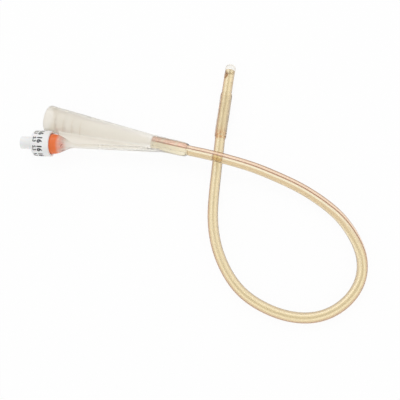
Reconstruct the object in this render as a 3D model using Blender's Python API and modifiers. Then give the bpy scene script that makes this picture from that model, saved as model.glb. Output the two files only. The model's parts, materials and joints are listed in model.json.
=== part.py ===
"""A two-way balloon catheter lying in a loose loop, with its drainage funnel and inflation valve.

Metres, +Z up. The funnel's axis runs along +X, from the drain mouth towards the shaft. The origin is on the
surface that the catheter lies on, under the middle of the moulded hub and its valve.

A place along the hub is measured from the drain mouth, a place along the valve from the nozzle's tip, and a
place near the catheter's rounded tip from the very end.
"""

import math

import bmesh
import bpy
import numpy as np
from mathutils import Matrix, Vector

# Clearances
FIT = 0.0003
BOND = 0.00013
WELD = 0.000001
OVERCUT = 0.002

# Facets
HUB_SIDES = 48
FINE_SIDES = 32
TUBE_SIDES = 12
LUMEN_SIDES = 8
CHANNEL_SIDES = 6
CORNER_STEPS = 4
BELL_STEPS = 8
EYE_SIDES = 16
SMOOTH_ANGLE = math.radians(35)

# Shaft, sized in French: a third of a millimetre of diameter each
FRENCH_SIZE = 16
FRENCH_UNIT = 0.001 / 3
SHAFT_RADIUS = FRENCH_SIZE * FRENCH_UNIT / 2
DRAIN_LUMEN_RADIUS = 0.00145
DRAIN_LUMEN_OFFSET = 0.00035
FILL_LUMEN_RADIUS = 0.00035
FILL_LUMEN_OFFSET = 0.00195

# Rounded tip, eyes and balloon, along the shaft from the very end
TIP_LENGTH = 0.0037
TIP_NOSE_FLAT = 0.0009
SPIGOT_LENGTH = 0.0016
FIRST_EYE_AT = 0.0068
SECOND_EYE_AT = 0.0120
EYE_LENGTH = 0.0040
EYE_WIDTH = 0.0019
FIRST_EYE_TURN = math.radians(40)
SECOND_EYE_TURN = math.radians(-125)
BALLOON_START = 0.0175
BALLOON_LENGTH = 0.0258
BALLOON_WALL = 0.00032
BALLOON_TAPER = 0.0008
BALLOON_EDGE = 0.00011
FILL_EYE_RADIUS = 0.0004

# Hub, along its axis from the drain mouth
HUB_LENGTH = 0.0790
MOUTH_RADIUS = 0.0072
MOUTH_WALL = 0.0011
FUNNEL_END_RADIUS = 0.0040
NECK_WALL = 0.00075
NECK_END_TAPER = 0.0045
THROAT_END_RADIUS = 0.0017
SOCKET_DEPTH = 0.0195
THROAT_LENGTH = 0.0025
GRIP_RING_COUNT = 4
GRIP_RING_FIRST = 0.0065
GRIP_RING_PITCH = 0.0048
GRIP_RING_HEIGHT = 0.00035
GRIP_RING_WIDTH = 0.0009
GRIP_RING_CREST = 0.4
MOUTH_EDGE = 0.0004

# Inflation arm: its axis meets the hub's axis a little past the hub's shaft end
ARM_ROOT_PAST_HUB = 0.0013
ARM_RADIUS = 0.0016
ARM_CHANNEL_RADIUS = 0.0007
ARM_BURIED_END = 0.0070
FILL_NOTCH_RADIUS = 0.00045

# Web between the funnel and the arm, from close behind the collar to where the two meet
WEB_THICKNESS = 0.0030
WEB_HOLLOW = 0.0012
WEB_FROM_COLLAR = 0.0012

# Valve, along its axis from the nozzle's tip
ARM_LONGER_THAN_HUB = 0.0108
NOZZLE_RADIUS = 0.0033
NOZZLE_LENGTH = 0.0069
NOZZLE_EDGE = 0.0002
LUER_MOUTH_RADIUS = 0.00215
LUER_END_RADIUS = 0.00195
SEAT_HOLE_RADIUS = 0.0015
CAP_RADIUS = 0.0068
CAP_GAP = 0.0001
CAP_SHOULDER = 0.0014
CAP_LENGTH = 0.0099
CAP_WEB = 0.0022
CAP_SKIRT_WALL = 0.0012
FLARE_WALL = 0.00065
FLARE_BELL_LENGTH = 0.0125
FLARE_BELL_SHAPE = 2.4
CORE_NOSE_LENGTH = 0.0040
CORE_BORE_RADIUS = 0.0029
CORE_OUTLET_RADIUS = 0.0008
CORE_END_RADIUS = 0.0026
STEM_RECESS = 0.0011
STEM_RADIUS = 0.0010
STEM_EDGE = 0.00025
STEM_HEAD_RADIUS = 0.0023
STEM_HEAD_THICKNESS = 0.0010
STEM_TAIL_RADIUS = 0.0009
STEM_TAIL_LENGTH = 0.0028
SEAL_THICKNESS = 0.0008
SPRING_RADIUS = 0.0017
SPRING_WIRE_RADIUS = 0.0002
SPRING_TURNS = 6
SPRING_POINTS_A_TURN = 14
SPRING_LENGTH = 0.0052
DEAD_COIL_PITCH = 0.0005

# Sizes that follow
HUB_AXIS_HEIGHT = MOUTH_RADIUS
FUNNEL_LENGTH = HUB_LENGTH - SOCKET_DEPTH - THROAT_LENGTH
NECK_RADIUS = SHAFT_RADIUS + FIT + NECK_WALL
CAP_START = NOZZLE_LENGTH
CAP_END = CAP_START + CAP_LENGTH
WEB_END = CAP_START + CAP_WEB
SKIRT_RADIUS = CAP_RADIUS - CAP_SKIRT_WALL
FLARE_RADIUS = SKIRT_RADIUS - FIT
CORE_RADIUS = FLARE_RADIUS - FLARE_WALL - FIT
CORE_START = WEB_END + FIT
SEAL_START = WEB_END + FIT
STEM_HEAD_START = SEAL_START + SEAL_THICKNESS + FIT
STEM_HEAD_END = STEM_HEAD_START + STEM_HEAD_THICKNESS
SPRING_START = STEM_HEAD_END + FIT
CORE_SEAT = SPRING_START + SPRING_LENGTH + FIT
BELL_END = CAP_END + FLARE_BELL_LENGTH

# The arm leans away from the funnel as far as the collar's rim needs
ARM_ROOT = HUB_LENGTH + ARM_ROOT_PAST_HUB
VALVE_REACH = ARM_ROOT + ARM_LONGER_THAN_HUB
RIM_AT = CAP_END - ARM_LONGER_THAN_HUB
FUNNEL_AT_RIM = MOUTH_RADIUS + (FUNNEL_END_RADIUS - MOUTH_RADIUS) * RIM_AT / FUNNEL_LENGTH
ARM_SPLAY = math.asin((FUNNEL_AT_RIM + CAP_RADIUS + CAP_GAP) / (VALVE_REACH - CAP_END))
CHANNEL_FROM_ROOT = SHAFT_RADIUS / math.sin(ARM_SPLAY)

# The origin lies under the middle of the hub and valve
NOZZLE_OVERHANG = (
    VALVE_REACH * math.cos(ARM_SPLAY) + NOZZLE_RADIUS * math.sin(ARM_SPLAY) - ARM_ROOT
)
CAP_SIDE_REACH = (
    (VALVE_REACH - CAP_START - CAP_SHOULDER) * math.sin(ARM_SPLAY) + CAP_RADIUS * math.cos(ARM_SPLAY)
)
MOUTH_X = -(HUB_LENGTH - NOZZLE_OVERHANG) / 2
HUB_Y = (CAP_SIDE_REACH - MOUTH_RADIUS) / 2
VALVE_AXIS = Vector((math.cos(ARM_SPLAY), math.sin(ARM_SPLAY), 0))
NOZZLE_TIP = Vector((MOUTH_X + ARM_ROOT, HUB_Y, HUB_AXIS_HEIGHT)) - VALVE_AXIS * VALVE_REACH
HUB_MOUTH = Vector((MOUTH_X, HUB_Y, HUB_AXIS_HEIGHT))
HUB_AXIS = Vector((1, 0, 0))

# The shaft's route, from the hub's end to the tip: x and y from there, z above the surface
SHAFT_ROUTE = (
    (0.0, 0.0, 7.2),
    (9.0, -0.3, 8.1),
    (17.0, -0.6, 8.6),
    (25.5, -0.9, 8.4),
    (37.0, -1.4, 7.3),
    (49.0, -2.9, 5.9),
    (61.0, -5.2, 4.6),
    (73.0, -9.1, 3.5),
    (84.0, -14.7, 2.9),
    (93.4, -22.8, 2.7),
    (100.4, -33.0, 2.7),
    (102.7, -45.0, 2.7),
    (99.0, -57.0, 2.7),
    (89.5, -66.6, 2.7),
    (76.5, -70.5, 2.7),
    (63.0, -69.6, 2.7),
    (50.0, -65.0, 2.7),
    (38.6, -56.0, 2.7),
    (29.5, -44.0, 2.7),
    (23.5, -31.0, 2.7),
    (20.0, -18.6, 2.7),
    (17.0, -5.3, 2.8),
    (14.5, 6.2, 3.1),
    (12.0, 18.0, 3.18),
    (9.5, 31.5, 3.17),
    (7.2, 43.5, 3.17),
    (5.1, 55.6, 3.1),
)
ROUTE_UNIT = 0.001
ROUTE_STEP = SHAFT_RADIUS * 4
ROUTE_SAMPLES = 2000

SILICONE_MILKY = ("silicone_milky", (0.83, 0.80, 0.70, 1), 0.35, 0.0)
SILICONE_AMBER = ("silicone_amber", (0.84, 0.70, 0.45, 1), 0.30, 0.0)
SILICONE_BALLOON = ("silicone_balloon", (0.74, 0.59, 0.36, 1), 0.35, 0.0)
SILICONE_CLEAR = ("silicone_clear", (0.88, 0.85, 0.76, 1), 0.20, 0.0)
PLASTIC_WHITE = ("plastic_white", (0.88, 0.88, 0.87, 1), 0.40, 0.0)
PLASTIC_ORANGE = ("plastic_orange", (0.85, 0.13, 0.03, 1), 0.35, 0.0)
PLASTIC_STEM = ("plastic_stem", (0.80, 0.80, 0.78, 1), 0.40, 0.0)
RUBBER_BLACK = ("rubber_black", (0.04, 0.04, 0.04, 1), 0.60, 0.0)
SPRING_STEEL = ("spring_steel", (0.62, 0.62, 0.64, 1), 0.30, 1.0)


def clear_scene():
    """Removes what the scene holds."""
    for existing in list(bpy.data.objects):
        bpy.data.objects.remove(existing, do_unlink=True)


def make_collection(name, hidden=False):
    """A collection of the scene."""
    collection = bpy.data.collections.new(name)
    bpy.context.scene.collection.children.link(collection)
    collection.hide_render = hidden
    return collection


def make_material(finish):
    """A Principled material from a name, a colour, a roughness and a metallic value."""
    name, colour, roughness, metallic = finish
    material = bpy.data.materials.get(name) or bpy.data.materials.new(name)
    material.use_nodes = True
    shader = material.node_tree.nodes["Principled BSDF"]
    shader.inputs["Base Color"].default_value = colour
    shader.inputs["Roughness"].default_value = roughness
    shader.inputs["Metallic"].default_value = metallic
    material.diffuse_color = colour
    return material


class Workshop:
    """Makes pieces and cutters in their collections."""

    def __init__(self):
        self.pieces = make_collection("foley_catheter")
        self.cutters = make_collection("cutters", hidden=True)

    def link(self, name, mesh, is_cutter):
        """An object of this mesh, hidden if it is a cutter."""
        made = bpy.data.objects.new(name, mesh)
        (self.cutters if is_cutter else self.pieces).objects.link(made)
        if is_cutter:
            made.hide_render = True
            made.display_type = "WIRE"
        return made

    def turned(self, name, profile, start, axis, sides, is_cutter=False):
        """A turned solid.

        The profile is (distance along the axis, radius) pairs in either sense round the section. Where its
        first and last points lie on the axis the solid is closed there, and otherwise it is a ring.
        """
        points = list(profile)
        count = len(points)
        signed = sum(
            points[i][0] * points[(i + 1) % count][1] - points[(i + 1) % count][0] * points[i][1]
            for i in range(count)
        )
        if signed < 0:
            points.reverse()
        is_open = points[0][1] == 0 and points[-1][1] == 0
        mesh = bpy.data.meshes.new(name)
        edges = [(i, i + 1) for i in range(count - 1)]
        if not is_open:
            edges.append((count - 1, 0))
        mesh.from_pydata([(radius, 0, along) for along, radius in points], edges, [])
        made = self.link(name, mesh, is_cutter)
        screw = made.modifiers.new("turn", "SCREW")
        screw.axis = "Z"
        screw.steps = sides
        screw.render_steps = sides
        screw.use_merge_vertices = True
        screw.merge_threshold = WELD
        made.location = start
        made.rotation_mode = "QUATERNION"
        made.rotation_quaternion = Vector((0, 0, 1)).rotation_difference(axis)
        return made

    def swept(self, name, points, radii, sides, is_cutter=False):
        """A round rod along points, with its own radius at each, as a closed mesh."""
        curve = bpy.data.curves.new(name, "CURVE")
        curve.dimensions = "3D"
        curve.twist_mode = "Z_UP"
        curve.bevel_depth = 1.0
        curve.bevel_resolution = sides // 2 - 2
        curve.use_fill_caps = True
        spline = curve.splines.new("POLY")
        spline.points.add(len(points) - 1)
        for knot, place, radius in zip(spline.points, points, radii):
            knot.co = (*place, 1)
            knot.radius = radius
        guide = bpy.data.objects.new(name + "_guide", curve)
        self.cutters.objects.link(guide)
        graph = bpy.context.evaluated_depsgraph_get()
        mesh = bpy.data.meshes.new_from_object(guide.evaluated_get(graph))
        mesh.name = name
        welded = bmesh.new()
        welded.from_mesh(mesh)
        bmesh.ops.remove_doubles(welded, verts=welded.verts, dist=WELD)
        bmesh.ops.recalc_face_normals(welded, faces=welded.faces)
        welded.to_mesh(mesh)
        welded.free()
        made = self.link(name, mesh, is_cutter)
        made.matrix_world = guide.matrix_world
        bpy.data.objects.remove(guide)
        bpy.data.curves.remove(curve)
        return made

    def rod(self, name, start, end, half_length, half_width, turn_axis):
        """A cutter rod with an oval section, from one point to another, long across turn_axis."""
        mesh = bpy.data.meshes.new(name)
        shape = bmesh.new()
        bmesh.ops.create_cone(
            shape,
            cap_ends=True,
            segments=EYE_SIDES,
            radius1=1,
            radius2=1,
            depth=(end - start).length,
        )
        bmesh.ops.scale(shape, vec=(half_length, half_width, 1), verts=shape.verts)
        shape.to_mesh(mesh)
        shape.free()
        made = self.link(name, mesh, is_cutter=True)
        upward = (end - start).normalized()
        along = (turn_axis - upward * turn_axis.dot(upward)).normalized()
        across = upward.cross(along)
        turned = Matrix((along, across, upward)).transposed().to_4x4()
        made.matrix_world = Matrix.Translation((start + end) / 2) @ turned
        return made


def boolean(piece, other, operation="DIFFERENCE"):
    """Cuts one object from another, or joins it to the other."""
    modifier = piece.modifiers.new(other.name, "BOOLEAN")
    modifier.operation = operation
    modifier.solver = "EXACT"
    modifier.object = other


def finish(piece, colour):
    """Turns a piece's modifiers into its mesh, shades it smooth between its edges and colours it."""
    graph = bpy.context.evaluated_depsgraph_get()
    mesh = bpy.data.meshes.new_from_object(piece.evaluated_get(graph))
    mesh.name = piece.name
    piece.modifiers.clear()
    piece.data = mesh
    mesh.shade_smooth()
    mesh.set_sharp_from_angle(angle=SMOOTH_ANGLE)
    mesh.materials.clear()
    mesh.materials.append(make_material(colour))
    return piece


def corner(centre_along, centre_radius, size, first_degrees, last_degrees):
    """Points of a rounded corner in a profile, as (along, radius) pairs."""
    turns = np.radians(np.linspace(first_degrees, last_degrees, CORNER_STEPS + 1))
    return [(centre_along + size * math.sin(a), centre_radius + size * math.cos(a)) for a in turns]


def mix(first, last, share):
    """The value at a share of the way from first to last."""
    return first + (last - first) * share


def smooth_route():
    """Points along the shaft from the hub's end, two diameters apart, on a cubic through the route's points.

    The cubic leaves the hub along the hub's axis, and its bending fades out at the tip.
    """
    hub_end = HUB_MOUTH + HUB_AXIS * HUB_LENGTH
    knots = np.array(SHAFT_ROUTE) * ROUTE_UNIT
    knots[:, :2] += (hub_end.x, hub_end.y)
    knots[0, 2] = HUB_AXIS_HEIGHT
    gaps = np.linalg.norm(np.diff(knots, axis=0), axis=1)
    at = np.concatenate([[0], np.cumsum(gaps)])
    count = len(knots)
    slopes = np.diff(knots, axis=0) / gaps[:, None]
    matrix = np.eye(count)
    wanted = np.zeros((count, 3))
    matrix[0, :2] = (2 * gaps[0], gaps[0])
    wanted[0] = 6 * (slopes[0] - np.array(HUB_AXIS))
    for i in range(1, count - 1):
        matrix[i, i - 1 : i + 2] = (gaps[i - 1], 2 * (gaps[i - 1] + gaps[i]), gaps[i])
        wanted[i] = 6 * (slopes[i] - slopes[i - 1])
    bends = np.linalg.solve(matrix, wanted)
    fine = np.linspace(0, at[-1], ROUTE_SAMPLES)
    span = np.clip(np.searchsorted(at, fine, side="right") - 1, 0, count - 2)
    gap = gaps[span][:, None]
    past = (fine - at[span])[:, None] / gap
    left = 1 - past
    curve = (
        left * knots[span]
        + past * knots[span + 1]
        + gap**2 / 6 * ((left**3 - left) * bends[span] + (past**3 - past) * bends[span + 1])
    )
    run = np.concatenate([[0], np.cumsum(np.linalg.norm(np.diff(curve, axis=0), axis=1))])
    return curve, run


class Shaft:
    """The catheter's centreline, from its end inside the hub to the rounded tip."""

    def __init__(self):
        self.curve, self.run = smooth_route()
        self.free_length = self.run[-1]
        self.start = -(SOCKET_DEPTH - FIT)
        self.end = self.free_length - TIP_LENGTH

    def point(self, along):
        """The place at this distance from the hub's end, negative inside the hub."""
        if along < 0:
            return HUB_MOUTH + HUB_AXIS * (HUB_LENGTH + along)
        return Vector(np.interp(along, self.run, self.curve[:, k]) for k in range(3))

    def heading(self, along):
        """The direction of travel there, towards the tip."""
        if along < 0:
            return HUB_AXIS.copy()
        reach = SHAFT_RADIUS / 2
        first = min(along, self.free_length - reach)
        return (self.point(first + reach) - self.point(max(first - reach, 0))).normalized()

    def loop_inside(self, along):
        """The level direction across the shaft there, towards the inside of the loop."""
        return self.heading(along).cross(Vector((0, 0, 1))).normalized()

    def from_tip(self, distance):
        """The place along the shaft of something measured from the very tip."""
        return self.free_length - distance

    def stations(self, first, last):
        """Distances along the shaft between two of them, both included."""
        count = max(round((last - first) / ROUTE_STEP), 2)
        return [mix(first, last, i / count) for i in range(count + 1)]

    def line(self, stations, offset=0.0):
        """Points at these stations, moved towards the inside of the loop."""
        return [self.point(s) + self.loop_inside(s) * offset for s in stations]


def build_shaft_tube(shop, shaft):
    """The two-lumen extrusion, with its drainage eyes, its fill eye and its fill notch."""
    stations = [shaft.start, *shaft.stations(0, shaft.end)]
    tube = shop.swept("shaft_tube", shaft.line(stations), [SHAFT_RADIUS] * len(stations), TUBE_SIDES)
    ends = [shaft.start - OVERCUT, *stations[1:-1], shaft.end + OVERCUT]
    drain = shop.swept(
        "drain_lumen",
        shaft.line(ends, -DRAIN_LUMEN_OFFSET),
        [DRAIN_LUMEN_RADIUS] * len(ends),
        LUMEN_SIDES,
        is_cutter=True,
    )
    boolean(tube, drain)
    fill_eye = shaft.from_tip(BALLOON_START + BALLOON_LENGTH / 2)
    notch = ARM_ROOT - CHANNEL_FROM_ROOT * math.cos(ARM_SPLAY) - HUB_LENGTH
    before_eye = [s for s in stations if 0 <= s < fill_eye - ROUTE_STEP / 2]
    fill_ends = [notch - OVERCUT, *before_eye, fill_eye + OVERCUT]
    fill = shop.swept(
        "fill_lumen",
        shaft.line(fill_ends, FILL_LUMEN_OFFSET),
        [FILL_LUMEN_RADIUS] * len(fill_ends),
        CHANNEL_SIDES,
        is_cutter=True,
    )
    boolean(tube, fill)
    for name, place, radius in (
        ("fill_notch", notch, FILL_NOTCH_RADIUS),
        ("fill_eye", fill_eye, FILL_EYE_RADIUS),
    ):
        start = shaft.point(place) + shaft.loop_inside(place) * FILL_LUMEN_OFFSET
        end = shaft.point(place) + shaft.loop_inside(place) * (SHAFT_RADIUS + OVERCUT)
        boolean(tube, shop.rod(name, start, end, radius * 2, radius, shaft.heading(place)))
    for name, distance, turn in (
        ("first_eye", FIRST_EYE_AT, FIRST_EYE_TURN),
        ("second_eye", SECOND_EYE_AT, SECOND_EYE_TURN),
    ):
        place = shaft.from_tip(distance)
        facing = Matrix.Rotation(turn, 3, shaft.heading(place)) @ -shaft.loop_inside(place)
        start = shaft.point(place)
        end = start + facing * (SHAFT_RADIUS + OVERCUT)
        boolean(tube, shop.rod(name, start, end, EYE_LENGTH / 2, EYE_WIDTH / 2, shaft.heading(place)))
    return finish(tube, SILICONE_AMBER)


def build_balloon_sleeve(shop, shaft):
    """The deflated balloon: a thin sleeve with tapered ends."""
    first = shaft.from_tip(BALLOON_START + BALLOON_LENGTH)
    last = shaft.from_tip(BALLOON_START)
    inner = SHAFT_RADIUS + BOND
    outer = inner + BALLOON_WALL
    edge = inner + BALLOON_EDGE
    body = shaft.stations(first + BALLOON_TAPER, last - BALLOON_TAPER)
    stations = [first, *body, last]
    radii = [edge, *[outer] * len(body), edge]
    sleeve = shop.swept("balloon_sleeve", shaft.line(stations), radii, TUBE_SIDES)
    ends = [first - OVERCUT, *stations, last + OVERCUT]
    bore = shop.swept("balloon_bore", shaft.line(ends), [inner] * len(ends), TUBE_SIDES, is_cutter=True)
    boolean(sleeve, bore)
    return finish(sleeve, SILICONE_BALLOON)


def build_tip_plug(shop, shaft):
    """The rounded tip, with a spigot that plugs the drainage lumen."""
    heading = shaft.heading(shaft.end)
    face = shaft.point(shaft.end) + heading * FIT
    length = TIP_LENGTH - FIT
    dome = SHAFT_RADIUS - TIP_NOSE_FLAT
    straight = length - dome
    outline = [
        (straight + dome * math.sin(a), TIP_NOSE_FLAT + dome * math.cos(a))
        for a in np.linspace(0, math.pi / 2, 2 * CORNER_STEPS + 1)
    ]
    profile = [(0, 0), (0, SHAFT_RADIUS), *outline, (length, 0)]
    plug = shop.turned("tip_plug", profile, face, heading, HUB_SIDES)
    offset = shaft.loop_inside(shaft.end) * -DRAIN_LUMEN_OFFSET
    spigot = shop.turned(
        "tip_spigot",
        [
            (-SPIGOT_LENGTH, 0),
            (-SPIGOT_LENGTH, DRAIN_LUMEN_RADIUS - FIT),
            (straight / 2, DRAIN_LUMEN_RADIUS - FIT),
            (straight / 2, 0),
        ],
        face + offset,
        heading,
        FINE_SIDES,
        is_cutter=True,
    )
    boolean(plug, spigot, "UNION")
    return finish(plug, SILICONE_CLEAR)


def hub_outline():
    """The hub's outer profile from the drain mouth to its shaft end."""
    rounded = [
        (
            mix(HUB_LENGTH - NECK_END_TAPER, HUB_LENGTH, math.sin(a)),
            mix(SHAFT_RADIUS + FIT, NECK_RADIUS, math.cos(a)),
        )
        for a in np.linspace(0, math.pi / 2, CORNER_STEPS + 2)
    ]
    return [
        (0, MOUTH_RADIUS - MOUTH_EDGE),
        (MOUTH_EDGE, MOUTH_RADIUS),
        (FUNNEL_LENGTH, FUNNEL_END_RADIUS),
        *rounded,
    ]


def bore_radius(along):
    """The smooth funnel bore's radius at a place."""
    return mix(MOUTH_RADIUS - MOUTH_WALL, THROAT_END_RADIUS, along / FUNNEL_LENGTH)


def funnel_bore():
    """The bore's profile: grip rings near the mouth, then a long taper down to the shaft's end."""
    profile = [(-OVERCUT, 0), (-OVERCUT, bore_radius(-OVERCUT))]
    for i in range(GRIP_RING_COUNT):
        centre = GRIP_RING_FIRST + i * GRIP_RING_PITCH
        for step, height in ((-1, 0), (-GRIP_RING_CREST, 1), (GRIP_RING_CREST, 1), (1, 0)):
            along = centre + step * GRIP_RING_WIDTH / 2
            profile.append((along, bore_radius(along) - height * GRIP_RING_HEIGHT))
    throat_end = HUB_LENGTH - SOCKET_DEPTH
    profile += [
        (FUNNEL_LENGTH, THROAT_END_RADIUS),
        (throat_end + FIT, DRAIN_LUMEN_RADIUS),
        (throat_end + FIT, 0),
    ]
    return profile


def flare_radius(along):
    """The outer radius of the flare's bell, from the collar's rim to the arm."""
    share = (along - CAP_END) / FLARE_BELL_LENGTH
    return mix(FLARE_RADIUS, ARM_RADIUS, math.sin(share * math.pi / 2) ** FLARE_BELL_SHAPE)


def flare_outline():
    """The flare's outer profile: a barrel inside the collar, then a bell down to the arm."""
    steps = [mix(CAP_END, BELL_END, i / BELL_STEPS) for i in range(BELL_STEPS + 1)]
    return [(CORE_START, FLARE_RADIUS), *[(a, flare_radius(a)) for a in steps]]


def flare_cavity():
    """The inner profile of flare and arm: the core's seat, the room behind it, then the channel."""
    inner = FLARE_RADIUS - FLARE_WALL
    arm_wall = ARM_RADIUS - ARM_CHANNEL_RADIUS
    bell = []
    for i in range(1, BELL_STEPS):
        along = mix(CAP_END, BELL_END, i / BELL_STEPS)
        bell.append((along, flare_radius(along) - mix(FLARE_WALL, arm_wall, i / BELL_STEPS)))
    channel_end = VALVE_REACH - CHANNEL_FROM_ROOT
    return [
        (CORE_START - OVERCUT, 0),
        (CORE_START - OVERCUT, inner),
        (CAP_END, inner),
        *bell,
        (BELL_END, ARM_CHANNEL_RADIUS),
        (channel_end, ARM_CHANNEL_RADIUS),
        (channel_end, 0),
    ]


def web_plate(shop):
    """The flat web in the hub's plane, between the two axes, with a hollow front edge."""
    front = VALVE_REACH - CAP_END - WEB_FROM_COLLAR
    root = HUB_MOUTH + HUB_AXIS * ARM_ROOT
    near_funnel = root - HUB_AXIS * front
    near_arm = root - VALVE_AXIS * front
    back = root - (HUB_AXIS + VALVE_AXIS) * ARM_BURIED_END / 2
    edge = []
    for share in np.linspace(0, 1, 2 * CORNER_STEPS + 1):
        hollow = HUB_AXIS * WEB_HOLLOW * math.sin(math.pi * share)
        edge.append(near_funnel.lerp(near_arm, share) + hollow)
    outline = [back, *edge]
    count = len(outline)
    lift = Vector((0, 0, WEB_THICKNESS / 2))
    points = [place - lift for place in outline] + [place + lift for place in outline]
    sides = [(i, (i + 1) % count, count + (i + 1) % count, count + i) for i in range(count)]
    mesh = bpy.data.meshes.new("web_plate")
    mesh.from_pydata(points, [], [tuple(range(count)), tuple(range(2 * count - 1, count - 1, -1)), *sides])
    shape = bmesh.new()
    shape.from_mesh(mesh)
    bmesh.ops.recalc_face_normals(shape, faces=shape.faces)
    shape.to_mesh(mesh)
    shape.free()
    return shop.link("web_plate", mesh, is_cutter=True)


def build_drain_funnel(shop):
    """The hub moulding: funnel, neck, inflation arm, web and flare."""
    outline = hub_outline()
    hub = shop.turned(
        "drain_funnel", [(0, 0), *outline, (HUB_LENGTH, 0)], HUB_MOUTH, HUB_AXIS, HUB_SIDES
    )
    arm_end = VALVE_REACH - ARM_BURIED_END
    arm = shop.turned(
        "arm_outside",
        [(CORE_START, 0), *flare_outline(), (arm_end, ARM_RADIUS), (arm_end, 0)],
        NOZZLE_TIP,
        VALVE_AXIS,
        HUB_SIDES,
        is_cutter=True,
    )
    boolean(hub, arm, "UNION")
    boolean(hub, web_plate(shop), "UNION")
    bore = shop.turned("funnel_bore", funnel_bore(), HUB_MOUTH, HUB_AXIS, HUB_SIDES, is_cutter=True)
    boolean(hub, bore)
    socket_radius = SHAFT_RADIUS + FIT / 2
    socket_start = HUB_LENGTH - SOCKET_DEPTH
    socket = shop.turned(
        "shaft_socket",
        [
            (socket_start, 0),
            (socket_start, socket_radius),
            (HUB_LENGTH + OVERCUT, socket_radius),
            (HUB_LENGTH + OVERCUT, 0),
        ],
        HUB_MOUTH,
        HUB_AXIS,
        HUB_SIDES,
        is_cutter=True,
    )
    boolean(hub, socket)
    cavity = shop.turned(
        "flare_cavity", flare_cavity(), NOZZLE_TIP, VALVE_AXIS, HUB_SIDES, is_cutter=True
    )
    boolean(hub, cavity)
    return finish(hub, SILICONE_MILKY)


def build_valve_cap(shop):
    """The white housing: a luer nozzle and a collar over the flare, with a web between them."""
    shoulder = corner(CAP_START + CAP_SHOULDER, CAP_RADIUS - CAP_SHOULDER, CAP_SHOULDER, -90, 0)
    profile = [
        (0, LUER_MOUTH_RADIUS),
        (0, NOZZLE_RADIUS - NOZZLE_EDGE),
        (NOZZLE_EDGE, NOZZLE_RADIUS),
        (CAP_START, NOZZLE_RADIUS),
        *shoulder,
        (CAP_END - NOZZLE_EDGE, CAP_RADIUS),
        (CAP_END, CAP_RADIUS - NOZZLE_EDGE),
        (CAP_END, SKIRT_RADIUS),
        (WEB_END, SKIRT_RADIUS),
        (WEB_END, SEAT_HOLE_RADIUS),
        (CAP_START, SEAT_HOLE_RADIUS),
        (CAP_START, LUER_END_RADIUS),
    ]
    cap = shop.turned("valve_cap", profile, NOZZLE_TIP, VALVE_AXIS, HUB_SIDES)
    return finish(cap, PLASTIC_WHITE)


def build_valve_core(shop):
    """The orange insert: a barrel that holds the spring, with a rounded nose and an outlet."""
    nose_end = CAP_END + CORE_NOSE_LENGTH
    nose = [
        (
            mix(CAP_END, nose_end, math.sin(a)),
            mix(CORE_END_RADIUS, CORE_RADIUS, math.cos(a)),
        )
        for a in np.linspace(0, math.pi / 2, CORNER_STEPS + 2)
    ]
    profile = [
        (CORE_START, CORE_BORE_RADIUS),
        (CORE_START, CORE_RADIUS),
        *nose,
        (nose_end, CORE_OUTLET_RADIUS),
        (CORE_SEAT, CORE_OUTLET_RADIUS),
        (CORE_SEAT, CORE_BORE_RADIUS),
    ]
    core = shop.turned("valve_core", profile, NOZZLE_TIP, VALVE_AXIS, HUB_SIDES)
    return finish(core, PLASTIC_ORANGE)


def build_valve_stem(shop):
    """The plunger: a rod in the nozzle, a head behind the seal and a tail inside the spring."""
    tail_end = STEM_HEAD_END + STEM_TAIL_LENGTH
    profile = [
        (STEM_RECESS, 0),
        (STEM_RECESS, STEM_RADIUS - STEM_EDGE),
        (STEM_RECESS + STEM_EDGE, STEM_RADIUS),
        (STEM_HEAD_START, STEM_RADIUS),
        (STEM_HEAD_START, STEM_HEAD_RADIUS),
        (STEM_HEAD_END, STEM_HEAD_RADIUS),
        (STEM_HEAD_END, STEM_TAIL_RADIUS),
        (tail_end, STEM_TAIL_RADIUS),
        (tail_end, 0),
    ]
    stem = shop.turned("valve_stem", profile, NOZZLE_TIP, VALVE_AXIS, FINE_SIDES)
    return finish(stem, PLASTIC_STEM)


def build_stem_seal(shop):
    """The rubber ring on the stem, between its head and the housing's web."""
    inner = STEM_RADIUS + FIT / 2
    profile = [
        (SEAL_START, inner),
        (SEAL_START, STEM_HEAD_RADIUS),
        (SEAL_START + SEAL_THICKNESS, STEM_HEAD_RADIUS),
        (SEAL_START + SEAL_THICKNESS, inner),
    ]
    seal = shop.turned("stem_seal", profile, NOZZLE_TIP, VALVE_AXIS, FINE_SIDES)
    return finish(seal, RUBBER_BLACK)


def build_valve_spring(shop):
    """The closing spring, with a dead coil at each end."""
    start = SPRING_START + SPRING_WIRE_RADIUS
    travel = SPRING_LENGTH - 2 * SPRING_WIRE_RADIUS
    side = VALVE_AXIS.cross(Vector((0, 0, 1)))
    up = Vector((0, 0, 1))
    steps = SPRING_TURNS * SPRING_POINTS_A_TURN
    points = []
    for i in range(steps + 1):
        turns = i / SPRING_POINTS_A_TURN
        rise = np.interp(
            turns,
            (0, 1, SPRING_TURNS - 1, SPRING_TURNS),
            (0, DEAD_COIL_PITCH, travel - DEAD_COIL_PITCH, travel),
        )
        angle = 2 * math.pi * turns
        around = side * math.cos(angle) + up * math.sin(angle)
        points.append(NOZZLE_TIP + VALVE_AXIS * (start + rise) + around * SPRING_RADIUS)
    spring = shop.swept("valve_spring", points, [SPRING_WIRE_RADIUS] * len(points), CHANNEL_SIDES)
    return finish(spring, SPRING_STEEL)


def main():
    """Builds the catheter's pieces."""
    clear_scene()
    shop = Workshop()
    shaft = Shaft()
    build_drain_funnel(shop)
    build_shaft_tube(shop, shaft)
    build_balloon_sleeve(shop, shaft)
    build_tip_plug(shop, shaft)
    build_valve_cap(shop)
    build_valve_core(shop)
    build_valve_stem(shop)
    build_stem_seal(shop)
    build_valve_spring(shop)


main()
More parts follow.
